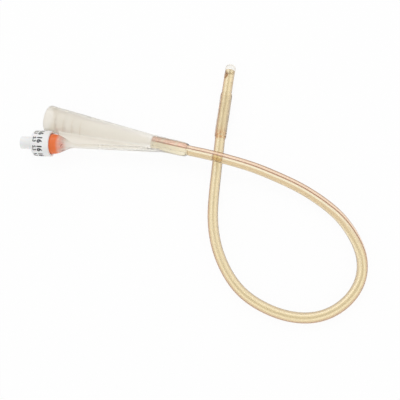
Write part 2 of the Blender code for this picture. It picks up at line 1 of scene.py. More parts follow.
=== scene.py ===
"""The looks of a two-way balloon catheter that lies in a loose loop on a pale surface.

Metres, +Z up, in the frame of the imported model: the hub's axis runs along +X from the drain mouth
towards the shaft, and the surface is at z = 0. The silicone pieces and the valve's spring are built here
again, finer than the solids and in the same places. The valve's other pieces keep their solids and get
their finishes.
"""

import json
import logging
import math
from dataclasses import dataclass, field
from enum import Enum
from typing import Any, Iterable, Sequence

import bmesh
import bpy
import numpy as np
from mathutils import Matrix, Vector


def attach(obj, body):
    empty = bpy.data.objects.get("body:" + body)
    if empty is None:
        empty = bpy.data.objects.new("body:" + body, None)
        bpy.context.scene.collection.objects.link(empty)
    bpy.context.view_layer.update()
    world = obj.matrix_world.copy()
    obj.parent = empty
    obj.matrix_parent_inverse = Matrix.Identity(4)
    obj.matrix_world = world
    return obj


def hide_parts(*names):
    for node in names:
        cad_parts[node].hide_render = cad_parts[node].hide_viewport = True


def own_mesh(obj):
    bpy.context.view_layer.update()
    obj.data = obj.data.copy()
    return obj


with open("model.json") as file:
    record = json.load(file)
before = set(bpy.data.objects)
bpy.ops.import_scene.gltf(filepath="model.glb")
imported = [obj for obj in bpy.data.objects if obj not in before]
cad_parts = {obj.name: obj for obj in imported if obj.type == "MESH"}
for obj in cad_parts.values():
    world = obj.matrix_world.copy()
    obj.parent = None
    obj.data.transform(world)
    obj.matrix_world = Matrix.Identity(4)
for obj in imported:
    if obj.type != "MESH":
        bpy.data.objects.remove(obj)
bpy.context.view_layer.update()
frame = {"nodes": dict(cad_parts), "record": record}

log = logging.getLogger("catheter")

Triple = tuple[float, float, float]
Colour = Triple
Span = tuple[float, float]
Station = tuple[float, float]
Values = float | np.ndarray

BODY = "catheter"
HUB_AXIS = Vector((1, 0, 0))
UP = Vector((0, 0, 1))
MM = 0.001
WELD = 1e-6
SHARP_ANGLE = math.radians(35)
HUB_AXIS_HEIGHT = 0.0072
HUB_LENGTH = 0.0790
SOCKET_DEPTH = 0.0195
SHAFT_RADIUS = 0.0026667
DRAIN_RADIUS = 0.00145
RING_COUNT = 4
RING_FIRST = 0.0065
RING_PITCH = 0.0048
SOFT_EDGES = (0.35, 0.65)
WHITE_LIGHT = (1.0, 1.0, 1.0)

# How far a bonded piece is sunk into its neighbour's wall, so that light passes as through one silicone
TOUCH = 0.00003

# The shaft's route to the tip in millimetres, x and y from the hub's end and z above the surface
SHAFT_ROUTE = (
    (0.0, 0.0, 7.2),
    (9.0, -0.3, 8.1),
    (17.0, -0.6, 8.6),
    (25.5, -0.9, 8.4),
    (37.0, -1.4, 7.3),
    (49.0, -2.9, 5.9),
    (61.0, -5.2, 4.6),
    (73.0, -9.1, 3.5),
    (84.0, -14.7, 2.9),
    (93.4, -22.8, 2.7),
    (100.4, -33.0, 2.7),
    (102.7, -45.0, 2.7),
    (99.0, -57.0, 2.7),
    (89.5, -66.6, 2.7),
    (76.5, -70.5, 2.7),
    (63.0, -69.6, 2.7),
    (50.0, -65.0, 2.7),
    (38.6, -56.0, 2.7),
    (29.5, -44.0, 2.7),
    (23.5, -31.0, 2.7),
    (20.0, -18.6, 2.7),
    (17.0, -5.3, 2.8),
    (14.5, 6.2, 3.1),
    (12.0, 18.0, 3.18),
    (9.5, 31.5, 3.17),
    (7.2, 43.5, 3.17),
    (5.1, 55.6, 3.1),
)


def blend(first: Values, last: Values, share: Values) -> Values:
    """The value at a share of the way from first to last."""
    return first + (last - first) * share


class Flow:
    """A socket's output that takes part in Python arithmetic, each step a Math node."""

    def __init__(self, tree: "Tree", socket: bpy.types.NodeSocket) -> None:
        """Wraps one output socket of a tree."""
        self.tree = tree
        self.socket = socket

    def maths(self, operation: str, *others: Any) -> "Flow":
        """A Math node on this value and others.

        Args:
            operation: the node's operation.
            others: numbers or flows that follow this one in the node.

        Returns:
            The node's value.
        """
        operands = dict(enumerate((self, *others)))
        return self.tree.node("ShaderNodeMath", {"operation": operation}, operands)

    def __add__(self, other: Any) -> "Flow":
        """This plus other."""
        return self.maths("ADD", other)

    __radd__ = __add__

    def __sub__(self, other: Any) -> "Flow":
        """This minus other."""
        return self.maths("SUBTRACT", other)

    def __rsub__(self, other: Any) -> "Flow":
        """Other minus this."""
        return self.tree.node("ShaderNodeMath", {"operation": "SUBTRACT"}, {0: other, 1: self})

    def __mul__(self, other: Any) -> "Flow":
        """This times other."""
        return self.maths("MULTIPLY", other)

    __rmul__ = __mul__

    def __truediv__(self, other: Any) -> "Flow":
        """This divided by other."""
        return self.maths("DIVIDE", other)

    def __abs__(self) -> "Flow":
        """The value without its sign."""
        return self.maths("ABSOLUTE")

    def within(self, low: float, high: float) -> "Flow":
        """The value, kept from low to high."""
        return self.tree.node("ShaderNodeClamp", {}, {"Value": self, "Min": low, "Max": high})

    def step(self, low: float, high: float) -> "Flow":
        """A smooth rise from 0 at low to 1 at high, or a fall where high is the lower."""
        rises = low <= high
        sockets = {
            "Value": self,
            "From Min": min(low, high),
            "From Max": max(low, high),
            "To Min": 0.0 if rises else 1.0,
            "To Max": 1.0 if rises else 0.0,
        }
        return self.tree.node("ShaderNodeMapRange", {"interpolation_type": "SMOOTHSTEP"}, sockets)


class Tree:
    """A node tree that is written in a few words."""

    def __init__(self, tree: bpy.types.NodeTree) -> None:
        """Wraps a shader tree or a geometry tree."""
        self.tree = tree

    @staticmethod
    def find(sockets: Any, key: Any) -> bpy.types.NodeSocket:
        """The socket with this identifier, or else with this name or number."""
        matches = [entry for entry in sockets if entry.identifier == key]
        return matches[0] if matches else sockets[key]

    def node(
        self,
        kind: str,
        settings: dict[str, Any] | None = None,
        sockets: dict[Any, Any] | None = None,
        output: Any = 0,
    ) -> Flow:
        """Adds a node.

        Args:
            kind: the node's type.
            settings: properties that are set first.
            sockets: values, flows or lists of flows by the input's identifier, name or number.
            output: the identifier, name or number of the output that is wanted.

        Returns:
            That output, or the first input of a node that has no outputs.
        """
        made = self.tree.nodes.new(kind)
        for name, value in (settings or {}).items():
            setattr(made, name, value)
        for name, value in (sockets or {}).items():
            entry = self.find(made.inputs, name)
            if isinstance(value, Flow):
                self.tree.links.new(value.socket, entry)
            elif isinstance(value, list):
                for each in value:
                    self.tree.links.new(each.socket, entry)
            else:
                entry.default_value = (*value, 1) if entry.type == "RGBA" else value
        return Flow(self, self.find(made.outputs, output) if made.outputs else made.inputs[0])

    def ramp(self, factor: Flow, stops: Sequence[tuple[float, Colour]]) -> Flow:
        """A colour ramp with these stops."""
        made = self.tree.nodes.new("ShaderNodeValToRGB")
        elements = made.color_ramp.elements
        while len(elements) < len(stops):
            elements.new(0.5)
        for element, (place, colour) in zip(elements, stops):
            element.position = place
            element.color = (*colour, 1)
        self.tree.links.new(factor.socket, made.inputs["Fac"])
        return Flow(self, made.outputs["Color"])

    def mix(self, factor: Any, first: Any, second: Any, way: str = "MIX") -> Flow:
        """A mix of two colours by a factor."""
        settings = {"data_type": "RGBA", "blend_type": way}
        sockets = {"Factor_Float": factor, "A_Color": first, "B_Color": second}
        return self.node("ShaderNodeMix", settings, sockets, "Result_Color")

    def mix_shaders(self, factor: Flow, first: Flow, second: Flow) -> Flow:
        """A mix of two shaders by a factor."""
        return self.node("ShaderNodeMixShader", {}, {0: factor, 1: first, 2: second})

    def noise(self, scale: float, detail: float = 2.0, stretch: Triple = (1, 1, 1)) -> Flow:
        """Noise on the piece's own coordinates, at a scale in cells per metre."""
        place = self.node("ShaderNodeTexCoord", output="Object")
        moved = self.node("ShaderNodeMapping", {}, {"Vector": place, "Scale": stretch})
        return self.node("ShaderNodeTexNoise", {}, {"Vector": moved, "Scale": scale, "Detail": detail})

    def parts(self, vector: Flow) -> list[Flow]:
        """The three numbers of a vector."""
        made = self.tree.nodes.new("ShaderNodeSeparateXYZ")
        self.tree.links.new(vector.socket, made.inputs[0])
        return [Flow(self, entry) for entry in made.outputs]

    def attribute(self, name: str, output: str = "Fac") -> Flow:
        """A value that the piece's mesh carries."""
        return self.node("ShaderNodeAttribute", {"attribute_name": name}, output=output)

    def facing(self) -> Flow:
        """How far the surface turns away from the eye, from 0 to 1."""
        return self.node("ShaderNodeLayerWeight", {}, {"Blend": 0.5}, "Facing")

    def bump(self, height: Flow, distance: float) -> Flow:
        """A Bump node that feeds Normal."""
        return self.node("ShaderNodeBump", {}, {"Height": height, "Distance": distance})

    def rays(self) -> tuple[Flow, Flow]:
        """Two values: 1 for a ray from the camera, and 1 for one from a mirror or a clear surface."""
        camera, glossy, clear = (
            self.node("ShaderNodeLightPath", output=name)
            for name in ("Is Camera Ray", "Is Glossy Ray", "Is Transmission Ray")
        )
        return camera, glossy.maths("MAXIMUM", clear)


@dataclass(frozen=True)
class Mottle:
    """Noise that raises a share from its least value by a spread, with sharper edges where set."""

    scale: float
    least: float
    spread: float
    edges: Span | None = None
    detail: float = 3.0

    def share(self, tree: Tree) -> Flow:
        """The share, as a flow in a tree."""
        noise = tree.noise(self.scale, self.detail)
        return self.least + self.spread * (noise.step(*self.edges) if self.edges else noise)


@dataclass(frozen=True)
class Finish:
    """A finish that makes its own material."""

    name: str

    def surface(self, tree: Tree) -> Flow:
        """The shader of the whole surface."""
        raise NotImplementedError(self.name)

    def make(self) -> bpy.types.Material:
        """The material."""
        material = bpy.data.materials.new(self.name)
        material.use_nodes = True
        material.node_tree.nodes.clear()
        tree = Tree(material.node_tree)
        tree.node("ShaderNodeOutputMaterial", {}, {"Surface": self.surface(tree)})
        return material


@dataclass(frozen=True)
class Silicone(Finish):
    """A translucent silicone: most light passes, and a share scatters in the surface.

    The tint is what light keeps in passing two of its surfaces.
    """

    tint: Colour
    cloud_colour: Colour
    passing: float
    roughness: float
    index: float
    cloud_scale: float
    cloud_depth: float
    edge_shade_colour: Colour
    edge_depth: float
    edge_span: Span = (0.38, 0.80)
    gloss_spread: float = 0.3
    coat: float = 0.2
    coat_roughness: float = 0.1

    def base(self, tree: Tree) -> Flow:
        """The colour with soft clouding, and painted shade at the edges, where more of the wall is looked
        through.
        """
        cloud = tree.noise(self.cloud_scale, detail=3.0)
        clouded = tree.mix(cloud * self.cloud_depth, self.tint, self.cloud_colour)
        # Painted shade: the colour deepens where the surface turns away from the eye.
        edge = tree.facing().step(*self.edge_span)
        return tree.mix(edge * self.edge_depth, clouded, self.edge_shade_colour)

    def gloss(self, tree: Tree) -> Flow:
        """The roughness, which varies a little over the surface."""
        spread = self.gloss_spread * self.roughness
        return self.roughness + spread * (tree.noise(self.cloud_scale * 2) - 0.5)

    def shader(
        self, tree: Tree, base: Flow, passing: float | None = None, index: float | None = None
    ) -> Flow:
        """The Principled shader of this silicone.

        Args:
            tree: the material's tree.
            base: the base colour.
            passing: the share of light that passes, where it isn't the silicone's own.
            index: the index of refraction, where it isn't the silicone's own.

        Returns:
            The shader.
        """
        sockets = {
            "Base Color": base,
            "Roughness": self.gloss(tree),
            "IOR": index or self.index,
            "Transmission Weight": passing or self.passing,
            "Coat Weight": self.coat,
            "Coat Roughness": self.coat_roughness,
        }
        return tree.node("ShaderNodeBsdfPrincipled", {}, sockets)

    def surface(self, tree: Tree) -> Flow:
        """One shader all over."""
        return self.shader(tree, self.base(tree))


@dataclass(frozen=True)
class StripedSilicone(Silicone):
    """The shaft's silicone, with an opaque salmon stripe drawn along one side of the extrusion.

    The mesh carries, for each point, how far it lies across the stripe's middle and along it, in shaft
    radii. The painted bands of light and shade are read round the section, in degrees from the stripe.
    """

    stripe_colour: Colour = (1.0, 0.75, 0.56)
    stripe_half_width: float = math.radians(20)
    stripe_side: Span = (0.70, 0.80)
    stripe_passing: float = 0.30
    stripe_coat: float = 0.3
    stripe_dulling: float = 0.05
    line_shade_colour: Colour = (0.28, 0.09, 0.035)
    line_width: float = math.radians(11)
    eye_shade_colour: Colour = (0.22, 0.09, 0.04)
    lumen_colour: Colour = (1.0, 0.985, 0.94)
    lumen_index: float = 1.08
    skin_span: Span = (0.84, 0.92)
    twist_span: Span = (0.100, 0.134)
    # Painted light and shade: bright and dark bands of bent light, by degrees from the stripe
    near_light_and_shade_bands: tuple[tuple[float, Colour], ...] = (
        (-180, (0.98, 0.93, 0.80)),
        (-124, (0.98, 0.90, 0.72)),
        (-108, (0.96, 0.83, 0.56)),
        (-94, (0.68, 0.49, 0.27)),
        (-72, (0.62, 0.43, 0.23)),
        (-52, (0.64, 0.45, 0.25)),
        (-45, (1.00, 0.93, 0.72)),
        (-34, (1.00, 0.93, 0.72)),
        (-24, (0.55, 0.36, 0.22)),
        (30, (0.60, 0.44, 0.30)),
        (60, (0.98, 0.93, 0.80)),
        (180, (0.98, 0.93, 0.80)),
    )
    far_light_and_shade_bands: tuple[tuple[float, Colour], ...] = (
        (-180, (0.98, 0.93, 0.80)),
        (-162, (0.80, 0.68, 0.46)),
        (-144, (0.48, 0.36, 0.22)),
        (-126, (0.62, 0.45, 0.25)),
        (-109, (1.00, 0.84, 0.50)),
        (-96, (0.78, 0.62, 0.34)),
        (-83, (0.46, 0.35, 0.17)),
        (-72, (0.62, 0.47, 0.24)),
        (-59, (1.00, 0.86, 0.52)),
        (-42, (0.66, 0.46, 0.25)),
        (-18, (0.42, 0.27, 0.16)),
        (10, (0.60, 0.44, 0.28)),
        (40, (0.98, 0.93, 0.80)),
        (180, (0.98, 0.93, 0.80)),
    )
    glue_tint: Colour = (1.0, 0.93, 0.72)
    glue_mottle: Mottle = Mottle(700.0, 0.65, 0.6)
    lit_tint: Colour = (1.0, 0.97, 0.84)
    lit_mottle: Mottle = Mottle(900.0, 0.25, 0.4, SOFT_EDGES)
    buried_colour: Colour = (1.0, 0.49, 0.40)
    buried_spread: float = 0.14
    buried_hiding: float = 0.9
    faded_colour: Colour = (1.0, 0.78, 0.64)
    glue_gaps: tuple[float, ...] = (0.0055, 0.0133)
    gap_width: float = 0.0012
    gap_waver: Mottle = Mottle(600.0, -0.001, 0.002, detail=2.0)

    def base(self, tree: Tree) -> Flow:
        """The colour with painted bands of light and shade, as the lumens' walls bend light along the
        extrusion.
        """
        aside, along, _ = tree.parts(tree.attribute("stripe", "Vector"))
        turn = aside.maths("ARCTAN2", along) / (2 * math.pi) + 0.5
        near, far = (
            tree.ramp(turn, [(angle / 360 + 0.5, colour) for angle, colour in bands])
            for bands in (self.near_light_and_shade_bands, self.far_light_and_shade_bands)
        )
        light_and_shade_banded = tree.mix(tree.attribute("run").step(*self.twist_span), near, far)
        buried = tree.attribute("buried")
        glued = tree.mix(buried * self.glue_mottle.share(tree), light_and_shade_banded, self.glue_tint)
        whole = tree.mix(1.0, super().base(tree), glued, "MULTIPLY")
        return tree.mix(buried * self.lit_mottle.share(tree), whole, self.lit_tint)

    def patches(self, tree: Tree) -> Flow:
        """The stripe's colour inside the neck, faded at the gaps in the glue."""
        run = tree.attribute("run") + self.gap_waver.share(tree)
        faded = sum(abs(run - place).step(self.gap_width, 0.0) for place in self.glue_gaps)
        return tree.mix(faded, self.buried_colour, self.faded_colour)

    def salmon(self, tree: Tree, line: Flow) -> Flow:
        """The stripe's own shader, with painted dark lines of shade along its edges."""
        sockets = {
            "Base Color": tree.mix(line, self.stripe_colour, self.line_shade_colour),
            "Roughness": self.roughness + self.stripe_dulling,
            "IOR": self.index,
            "Transmission Weight": self.stripe_passing,
            "Coat Weight": self.stripe_coat,
            "Coat Roughness": self.coat_roughness,
        }
        return tree.node("ShaderNodeBsdfPrincipled", {}, sockets)

    def surface(self, tree: Tree) -> Flow:
        """The skin with painted bands, clear walls in the lumens, and the stripe over them."""
        aside, along, _ = tree.parts(tree.attribute("stripe", "Vector"))
        buried = tree.attribute("buried")
        facing = along.step(*self.stripe_side)
        past = abs(aside) - (math.sin(self.stripe_half_width) + buried * self.buried_spread)
        edge = math.sin(self.line_width)
        stripe = facing * past.step(edge, 0.0)
        line = facing * abs(past).step(edge, 0.0)
        tinted = tree.mix(stripe * buried, self.base(tree), self.patches(tree))
        # Painted shade: dark lines along the stripe's edges, on the skin and on the stripe
        skin = self.shader(tree, tree.mix(line, tinted, self.line_shade_colour))
        # Painted shade on the drainage eye's wall
        wall_colour = tree.mix(tree.attribute("eye"), self.lumen_colour, self.eye_shade_colour)
        walls = self.shader(tree, wall_colour, index=self.lumen_index)
        outside = (aside * aside + along * along).step(*self.skin_span)
        amber = tree.mix_shaders(outside, walls, skin)
        shown = stripe * (1 - self.buried_hiding * buried)
        return tree.mix_shaders(shown, amber, self.salmon(tree, line))


@dataclass(frozen=True)
class MilkySilicone(Silicone):
    """The hub's silicone: cloudy on the funnel, clearer on the neck, and lit up round the orange core."""

    mouth_colour: Colour = (0.84, 0.79, 0.70)
    mouth_span: Span = (0.0070, 0.0045)
    mouth_depth: float = 0.55
    ring_shade_colour: Colour = (0.77, 0.71, 0.62)
    ring_width: float = 0.0006
    bore_passing: float = 0.85
    web_colour: Colour = (0.86, 0.81, 0.72)
    web_passing: float = 0.97
    web_index: float = 1.04
    clear_colour: Colour = (1.0, 0.99, 0.965)
    clear_passing: float = 0.995
    clear_index: float = 1.38
    clear_polish: float = 0.7
    glow_colour: Colour = (1.0, 0.78, 0.64)
    core_colour: Colour = (1.0, 0.24, 0.07)
    core_passing: float = 0.20
    bell_span: Span = (0.0, 0.06)
    bell_edge_shade: Colour = (0.50, 0.16, 0.08)
    bell_edge_span: Span = (0.60, 0.92)
    bell_edge_depth: float = 0.8
    streak_colour: Colour = (0.96, 0.50, 0.36)
    streak_scale: float = 2.6
    streak_span: Span = (0.48, 0.58)
    streak_depth: float = 0.35

    def base(self, tree: Tree) -> Flow:
        """The clouded colour, deeper on the web and in the mouth, with painted ring shade and a painted
        warm glow on the bell.
        """
        run = tree.attribute("run")
        web = tree.attribute("web")
        place = (run - RING_FIRST) / RING_PITCH
        nearest = place.maths("ROUND").within(0.0, RING_COUNT - 1.0)
        # Painted shade in bands at the grip rings
        ring = (abs(place - nearest) * RING_PITCH).step(self.ring_width, 0.0)
        deeper = tree.mix(web, super().base(tree), self.web_colour)
        mouth = self.mouth_depth * run.step(*self.mouth_span)
        shaded = tree.mix(mouth, deeper, self.mouth_colour)
        ringed = tree.mix(ring * tree.attribute("ringed"), shaded, self.ring_shade_colour)
        # Painted glow: the core's light spread through the flare's wall, fading from the collar
        warm = tree.attribute("warm") * (1 - web)
        warmed = tree.mix(warm, ringed, self.glow_colour)
        return self.streaked(tree, warmed, warm.step(*self.bell_span))

    def streaked(self, tree: Tree, warmed: Flow, on_bell: Flow) -> Flow:
        """The colour with faint streaks along the bell, and painted shade where the bell turns away from
        the eye.
        """
        sockets = {
            "Vector": tree.attribute("bell", "Vector"),
            "Scale": self.streak_scale,
            "Detail": 3.0,
        }
        streak = tree.node("ShaderNodeTexNoise", {}, sockets).step(*self.streak_span)
        edge = tree.facing().step(*self.bell_edge_span)
        streaked = tree.mix(on_bell * streak * self.streak_depth, warmed, self.streak_colour)
        return tree.mix(on_bell * edge * self.bell_edge_depth, streaked, self.bell_edge_shade)

    def gloss(self, tree: Tree) -> Flow:
        """The roughness, lower where the wall is clear."""
        return super().gloss(tree) * (1.0 - self.clear_polish * tree.attribute("clear"))

    def surface(self, tree: Tree) -> Flow:
        """The funnel's shader, with those of the bore, the clear walls, the core's glow and the web."""
        base = self.base(tree)
        web = tree.attribute("web")
        core = tree.attribute("core")
        glow = tree.mix(core * core, base, self.core_colour)
        pale = tree.mix(tree.attribute("warm"), self.clear_colour, self.glow_colour)
        whole = self.shader(tree, base)
        for kind, other in (
            ("bore", self.shader(tree, base, self.bore_passing)),
            ("clear", self.shader(tree, pale, self.clear_passing, self.clear_index)),
            ("core", self.shader(tree, glow, self.core_passing)),
        ):
            whole = tree.mix_shaders(tree.attribute(kind) * (1 - web), whole, other)
        thin = self.shader(tree, base, self.web_passing, self.web_index)
        return tree.mix_shaders(web, whole, thin)


@dataclass(frozen=True)
class GluedSilicone(Silicone):
    """The balloon's silicone, with a speckled band of adhesive near its hub-side end."""

    glue_colour: Colour = (0.80, 0.36, 0.12)
    glue_span: Span = (0.0070, 0.0028)
    glue_mottle: Mottle = Mottle(1300.0, 0.0, 0.8, (0.46, 0.62), 2.0)
    thin_share: float = 0.35
    thick_side: Span = (0.0, 0.8)

    def base(self, tree: Tree) -> Flow:
        """The clouded colour, speckled orange where the glue shows."""
        near = tree.attribute("run").step(*self.glue_span)
        aside, _, _ = tree.parts(tree.attribute("stripe", "Vector"))
        thickness = self.thin_share + (1 - self.thin_share) * aside.step(*self.thick_side)
        share = near * thickness * self.glue_mottle.share(tree)
        return tree.mix(share, super().base(tree), self.glue_colour)


@dataclass(frozen=True)
class Plastic(Finish):
    """A moulded plastic with a fine grain and slight clouding."""

    colour: Colour
    second: Colour
    roughness: float
    scatter: float = 0.0
    scatter_reach: Triple = (0.002, 0.001, 0.0006)
    coat: float = 0.0
    coat_roughness: float = 0.08
    cloud_scale: float = 250.0
    grain_scale: float = 3000.0
    grain_depth: float = 0.00001
    gloss_spread: float = 0.12

    def surface(self, tree: Tree) -> Flow:
        """The clouded colour under the grain."""
        cloud = tree.noise(self.cloud_scale, detail=3.0).step(*SOFT_EDGES)
        grain = tree.noise(self.grain_scale, detail=4.0)
        sockets = {
            "Base Color": tree.mix(cloud, self.colour, self.second),
            "Roughness": self.roughness + self.gloss_spread * (grain - 0.5),
            "Subsurface Weight": self.scatter,
            "Subsurface Radius": self.scatter_reach,
            "Coat Weight": self.coat,
            "Coat Roughness": self.coat_roughness,
            "Normal": tree.bump(grain, self.grain_depth),
        }
        return tree.node("ShaderNodeBsdfPrincipled", {}, sockets)


@dataclass(frozen=True)
class Steel(Finish):
    """Drawn spring wire with fine scratches along it."""

    colour: Colour = (0.55, 0.55, 0.57)
    bright: Colour = (0.72, 0.72, 0.74)
    roughness: float = 0.22
    gloss_spread: float = 0.15
    scratch_scale: float = 6000.0
    scratch_stretch: Triple = (1.0, 0.2, 0.2)
    scratch_depth: float = 0.00001

    def surface(self, tree: Tree) -> Flow:
        """Scratched metal."""
        scratch = tree.noise(self.scratch_scale, 3.0, self.scratch_stretch)
        sockets = {
            "Base Color": tree.mix(scratch, self.colour, self.bright),
            "Roughness": self.roughness + self.gloss_spread * scratch,
            "Metallic": 1.0,
            "Normal": tree.bump(scratch, self.scratch_depth),
        }
        return tree.node("ShaderNodeBsdfPrincipled", {}, sockets)


@dataclass(frozen=True)
class Paper(Finish):
    """The floor's paper, which looks nearly white and keeps a faint shadow.

    Through clear surfaces it glows only near the catheter.
    """

    colour: Colour = (0.93, 0.93, 0.93)
    second: Colour = (0.95, 0.95, 0.95)
    roughness: float = 0.9
    fibre_scale: float = 40.0
    glow: float = 0.94
    glow_span: Span = (0.50, 0.22)

    def surface(self, tree: Tree) -> Flow:
        """Paper that takes a little of the light's shade under an even white."""
        fibres = tree.noise(self.fibre_scale, detail=4.0)
        colour = tree.mix(fibres, self.colour, self.second)
        soft = tree.node(
            "ShaderNodeBsdfPrincipled", {}, {"Base Color": colour, "Roughness": self.roughness}
        )
        white = tree.node("ShaderNodeEmission", {}, {"Color": WHITE_LIGHT, "Strength": 1.0})
        camera, through = tree.rays()
        x, y, _ = tree.parts(tree.node("ShaderNodeTexCoord", output="Object"))
        near = (x * x + y * y).maths("SQRT").step(*self.glow_span)
        share = (camera * (1 - through) + through * near) * self.glow
        return tree.mix_shaders(share, soft, white)


MILKY = MilkySilicone(
    name="milky_silicone",
    tint=(0.98, 0.955, 0.90),
    cloud_colour=(0.95, 0.92, 0.855),
    passing=0.86,
    roughness=0.34,
    index=1.25,
    cloud_scale=160.0,
    cloud_depth=0.5,
    edge_shade_colour=(0.80, 0.74, 0.65),
    edge_depth=0.3,
)
AMBER = StripedSilicone(
    name="amber_silicone",
    tint=(1.0, 0.98, 0.93),
    cloud_colour=(0.99, 0.955, 0.89),
    passing=0.985,
    roughness=0.13,
    index=1.41,
    cloud_scale=300.0,
    cloud_depth=0.4,
    edge_shade_colour=(0.50, 0.31, 0.16),
    edge_depth=0.9,
)
BROWN = GluedSilicone(
    name="balloon_silicone",
    tint=(1.0, 0.99, 0.97),
    cloud_colour=(0.99, 0.965, 0.93),
    passing=0.985,
    roughness=0.30,
    index=1.12,
    cloud_scale=500.0,
    cloud_depth=0.5,
    edge_shade_colour=(0.70, 0.55, 0.38),
    edge_depth=0.4,
)
CLEAR = Silicone(
    name="clear_silicone",
    tint=(0.995, 0.98, 0.94),
    cloud_colour=(0.97, 0.95, 0.89),
    passing=0.92,
    roughness=0.22,
    index=1.10,
    cloud_scale=500.0,
    cloud_depth=0.3,
    edge_shade_colour=(0.62, 0.48, 0.31),
    edge_depth=0.9,
)
WHITE = Plastic("white_plastic", (0.93, 0.93, 0.92), (0.88, 0.88, 0.87), 0.38, scatter=0.1)
ORANGE = Plastic("orange_plastic", (1.0, 0.16, 0.02), (0.90, 0.09, 0.012), 0.30, coat=0.1)
IVORY = Plastic("stem_plastic", (0.72, 0.71, 0.68), (0.66, 0.65, 0.62), 0.45, scatter=0.1)
BLACK = Plastic("seal_rubber", (0.03, 0.03, 0.03), (0.05, 0.05, 0.05), 0.6, grain_depth=0.00002)
INK = Plastic("print_ink", (0.045, 0.045, 0.05), (0.08, 0.08, 0.085), 0.55, grain_depth=0.000005)
WIRE = Steel("spring_wire")
FLOOR = Paper("floor")


class Slot(Enum):
    """The record's material slots for the pieces that are built here."""

    HUB = "silicone_milky"
    SHAFT = "silicone_amber"
    BALLOON = "silicone_balloon"
    TIP = "silicone_clear"
    PRINT = "plastic_white"
    SPRING = "spring_steel"


def link_object(name: str, data: bpy.types.ID) -> bpy.types.Object:
    """A new object of this data, linked to the scene at the origin."""
    made = bpy.data.objects.new(name, data)
    bpy.context.scene.collection.objects.link(made)
    return made


def link_piece(name: str, mesh: bpy.types.Mesh, material: bpy.types.Material) -> bpy.types.Object:
    """A shaded object of this mesh, which is already in place."""
    mesh.materials.clear()
    mesh.materials.append(material)
    mesh.shade_smooth()
    mesh.set_sharp_from_angle(angle=SHARP_ANGLE)
    return link_object(name, mesh)


def settle(piece: bpy.types.Object, slot: Slot, *nodes: str) -> bpy.types.Object:
    """Makes a piece ride on the catheter and stand for CAD nodes.

    Args:
        piece: the finished piece.
        slot: not used.
        nodes: the CAD nodes that it replaces.

    Returns:
        The piece.
    """
    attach(piece, BODY)
    if nodes:
        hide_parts(*nodes)
    log.info("%s: %d faces", piece.name, len(piece.data.polygons))
    return piece


def write_attribute(mesh: bpy.types.Mesh, name: str, values: np.ndarray, domain: str = "POINT") -> None:
    """Gives a mesh one number or one vector for each point or each face."""
    numbers = np.asarray(values, np.float32)
    kind, key = ("FLOAT", "value") if numbers.ndim == 1 else ("FLOAT_VECTOR", "vector")
    mesh.attributes.new(name, kind, domain).data.foreach_set(key, numbers.ravel())


def flat_vectors(first: np.ndarray, second: np.ndarray) -> np.ndarray:
    """Vectors of two numbers each, with nothing in the third place."""
    return np.column_stack((first, second, np.zeros(len(first))))


def whole_faces(mesh: bpy.types.Mesh, marked: np.ndarray) -> np.ndarray:
    """One for each face whose points are all marked, and zero for the others."""
    return np.array([marked[list(face.vertices)].all() for face in mesh.polygons], np.float32)


def mesh_points(mesh: bpy.types.Mesh) -> np.ndarray:
    """The places of a mesh's points."""
    places = np.empty(len(mesh.vertices) * 3)
    mesh.vertices.foreach_get("co", places)
    return places.reshape(-1, 3)


def evaluated_mesh(made: bpy.types.Object, name: str) -> bpy.types.Mesh:
    """The mesh that an object's modifiers make, as a plain mesh. The object is removed."""
    graph = bpy.context.evaluated_depsgraph_get()
    mesh = bpy.data.meshes.new_from_object(made.evaluated_get(graph))
    mesh.name = name
    bpy.data.objects.remove(made)
    return mesh


def finished_mesh(name: str, shape: bmesh.types.BMesh) -> bpy.types.Mesh:
    """A mesh of a closed shape with its faces pointing out. The shape is freed."""
    bmesh.ops.recalc_face_normals(shape, faces=shape.faces)
    mesh = bpy.data.meshes.new(name)
    shape.to_mesh(mesh)
    shape.free()
    return mesh


def bridged_mesh(
    name: str, shape: bmesh.types.BMesh, rings: Sequence[list[bmesh.types.BMVert]]
) -> bpy.types.Mesh:
    """A mesh with faces from each ring to the next.

    Args:
        name: the mesh's name.
        shape: the shape that the rings are in, which is freed.
        rings: rings of as many points each. A pole is a ring that holds one point again and again.

    Returns:
        The mesh.
    """
    for before, after in zip(rings, rings[1:]):
        for i in range(len(before)):
            j = (i + 1) % len(before)
            corners = (before[i], before[j], after[j], after[i])
            shape.faces.new(list(dict.fromkeys(corners)))
    return finished_mesh(name, shape)


def ring_angles(sides: int) -> list[float]:
    """The angles of the points round a section."""
    return [2 * math.pi * i / sides for i in range(sides)]


def quarter(steps: int) -> list[Station]:
    """Sine and cosine at even steps over a quarter turn, for rounded profiles."""
    return [(math.sin(a), math.cos(a)) for a in np.linspace(0, math.pi / 2, steps)]


def turned_mesh(
    name: str, profile: Sequence[Station], start: Vector, axis: Vector, sides: int
) -> bpy.types.Mesh:
    """A turned solid.

    Args:
        name: the mesh's name.
        profile: (distance along the axis, radius) pairs, with the first and the last on the axis.
        start: the place of distance 0.
        axis: the axis of the turn.
        sides: the number of sides.

    Returns:
        The mesh, with quads all round and its faces pointing out.
    """
    turn = UP.rotation_difference(axis).to_matrix()
    shape = bmesh.new()
    rings = []
    for along, radius in profile:
        if radius == 0:
            rings.append([shape.verts.new(start + turn @ Vector((0, 0, along)))] * sides)
            continue
        places = [Vector((radius * math.cos(a), radius * math.sin(a), along)) for a in ring_angles(sides)]
        rings.append([shape.verts.new(start + turn @ place) for place in places])
    return bridged_mesh(name, shape, rings)


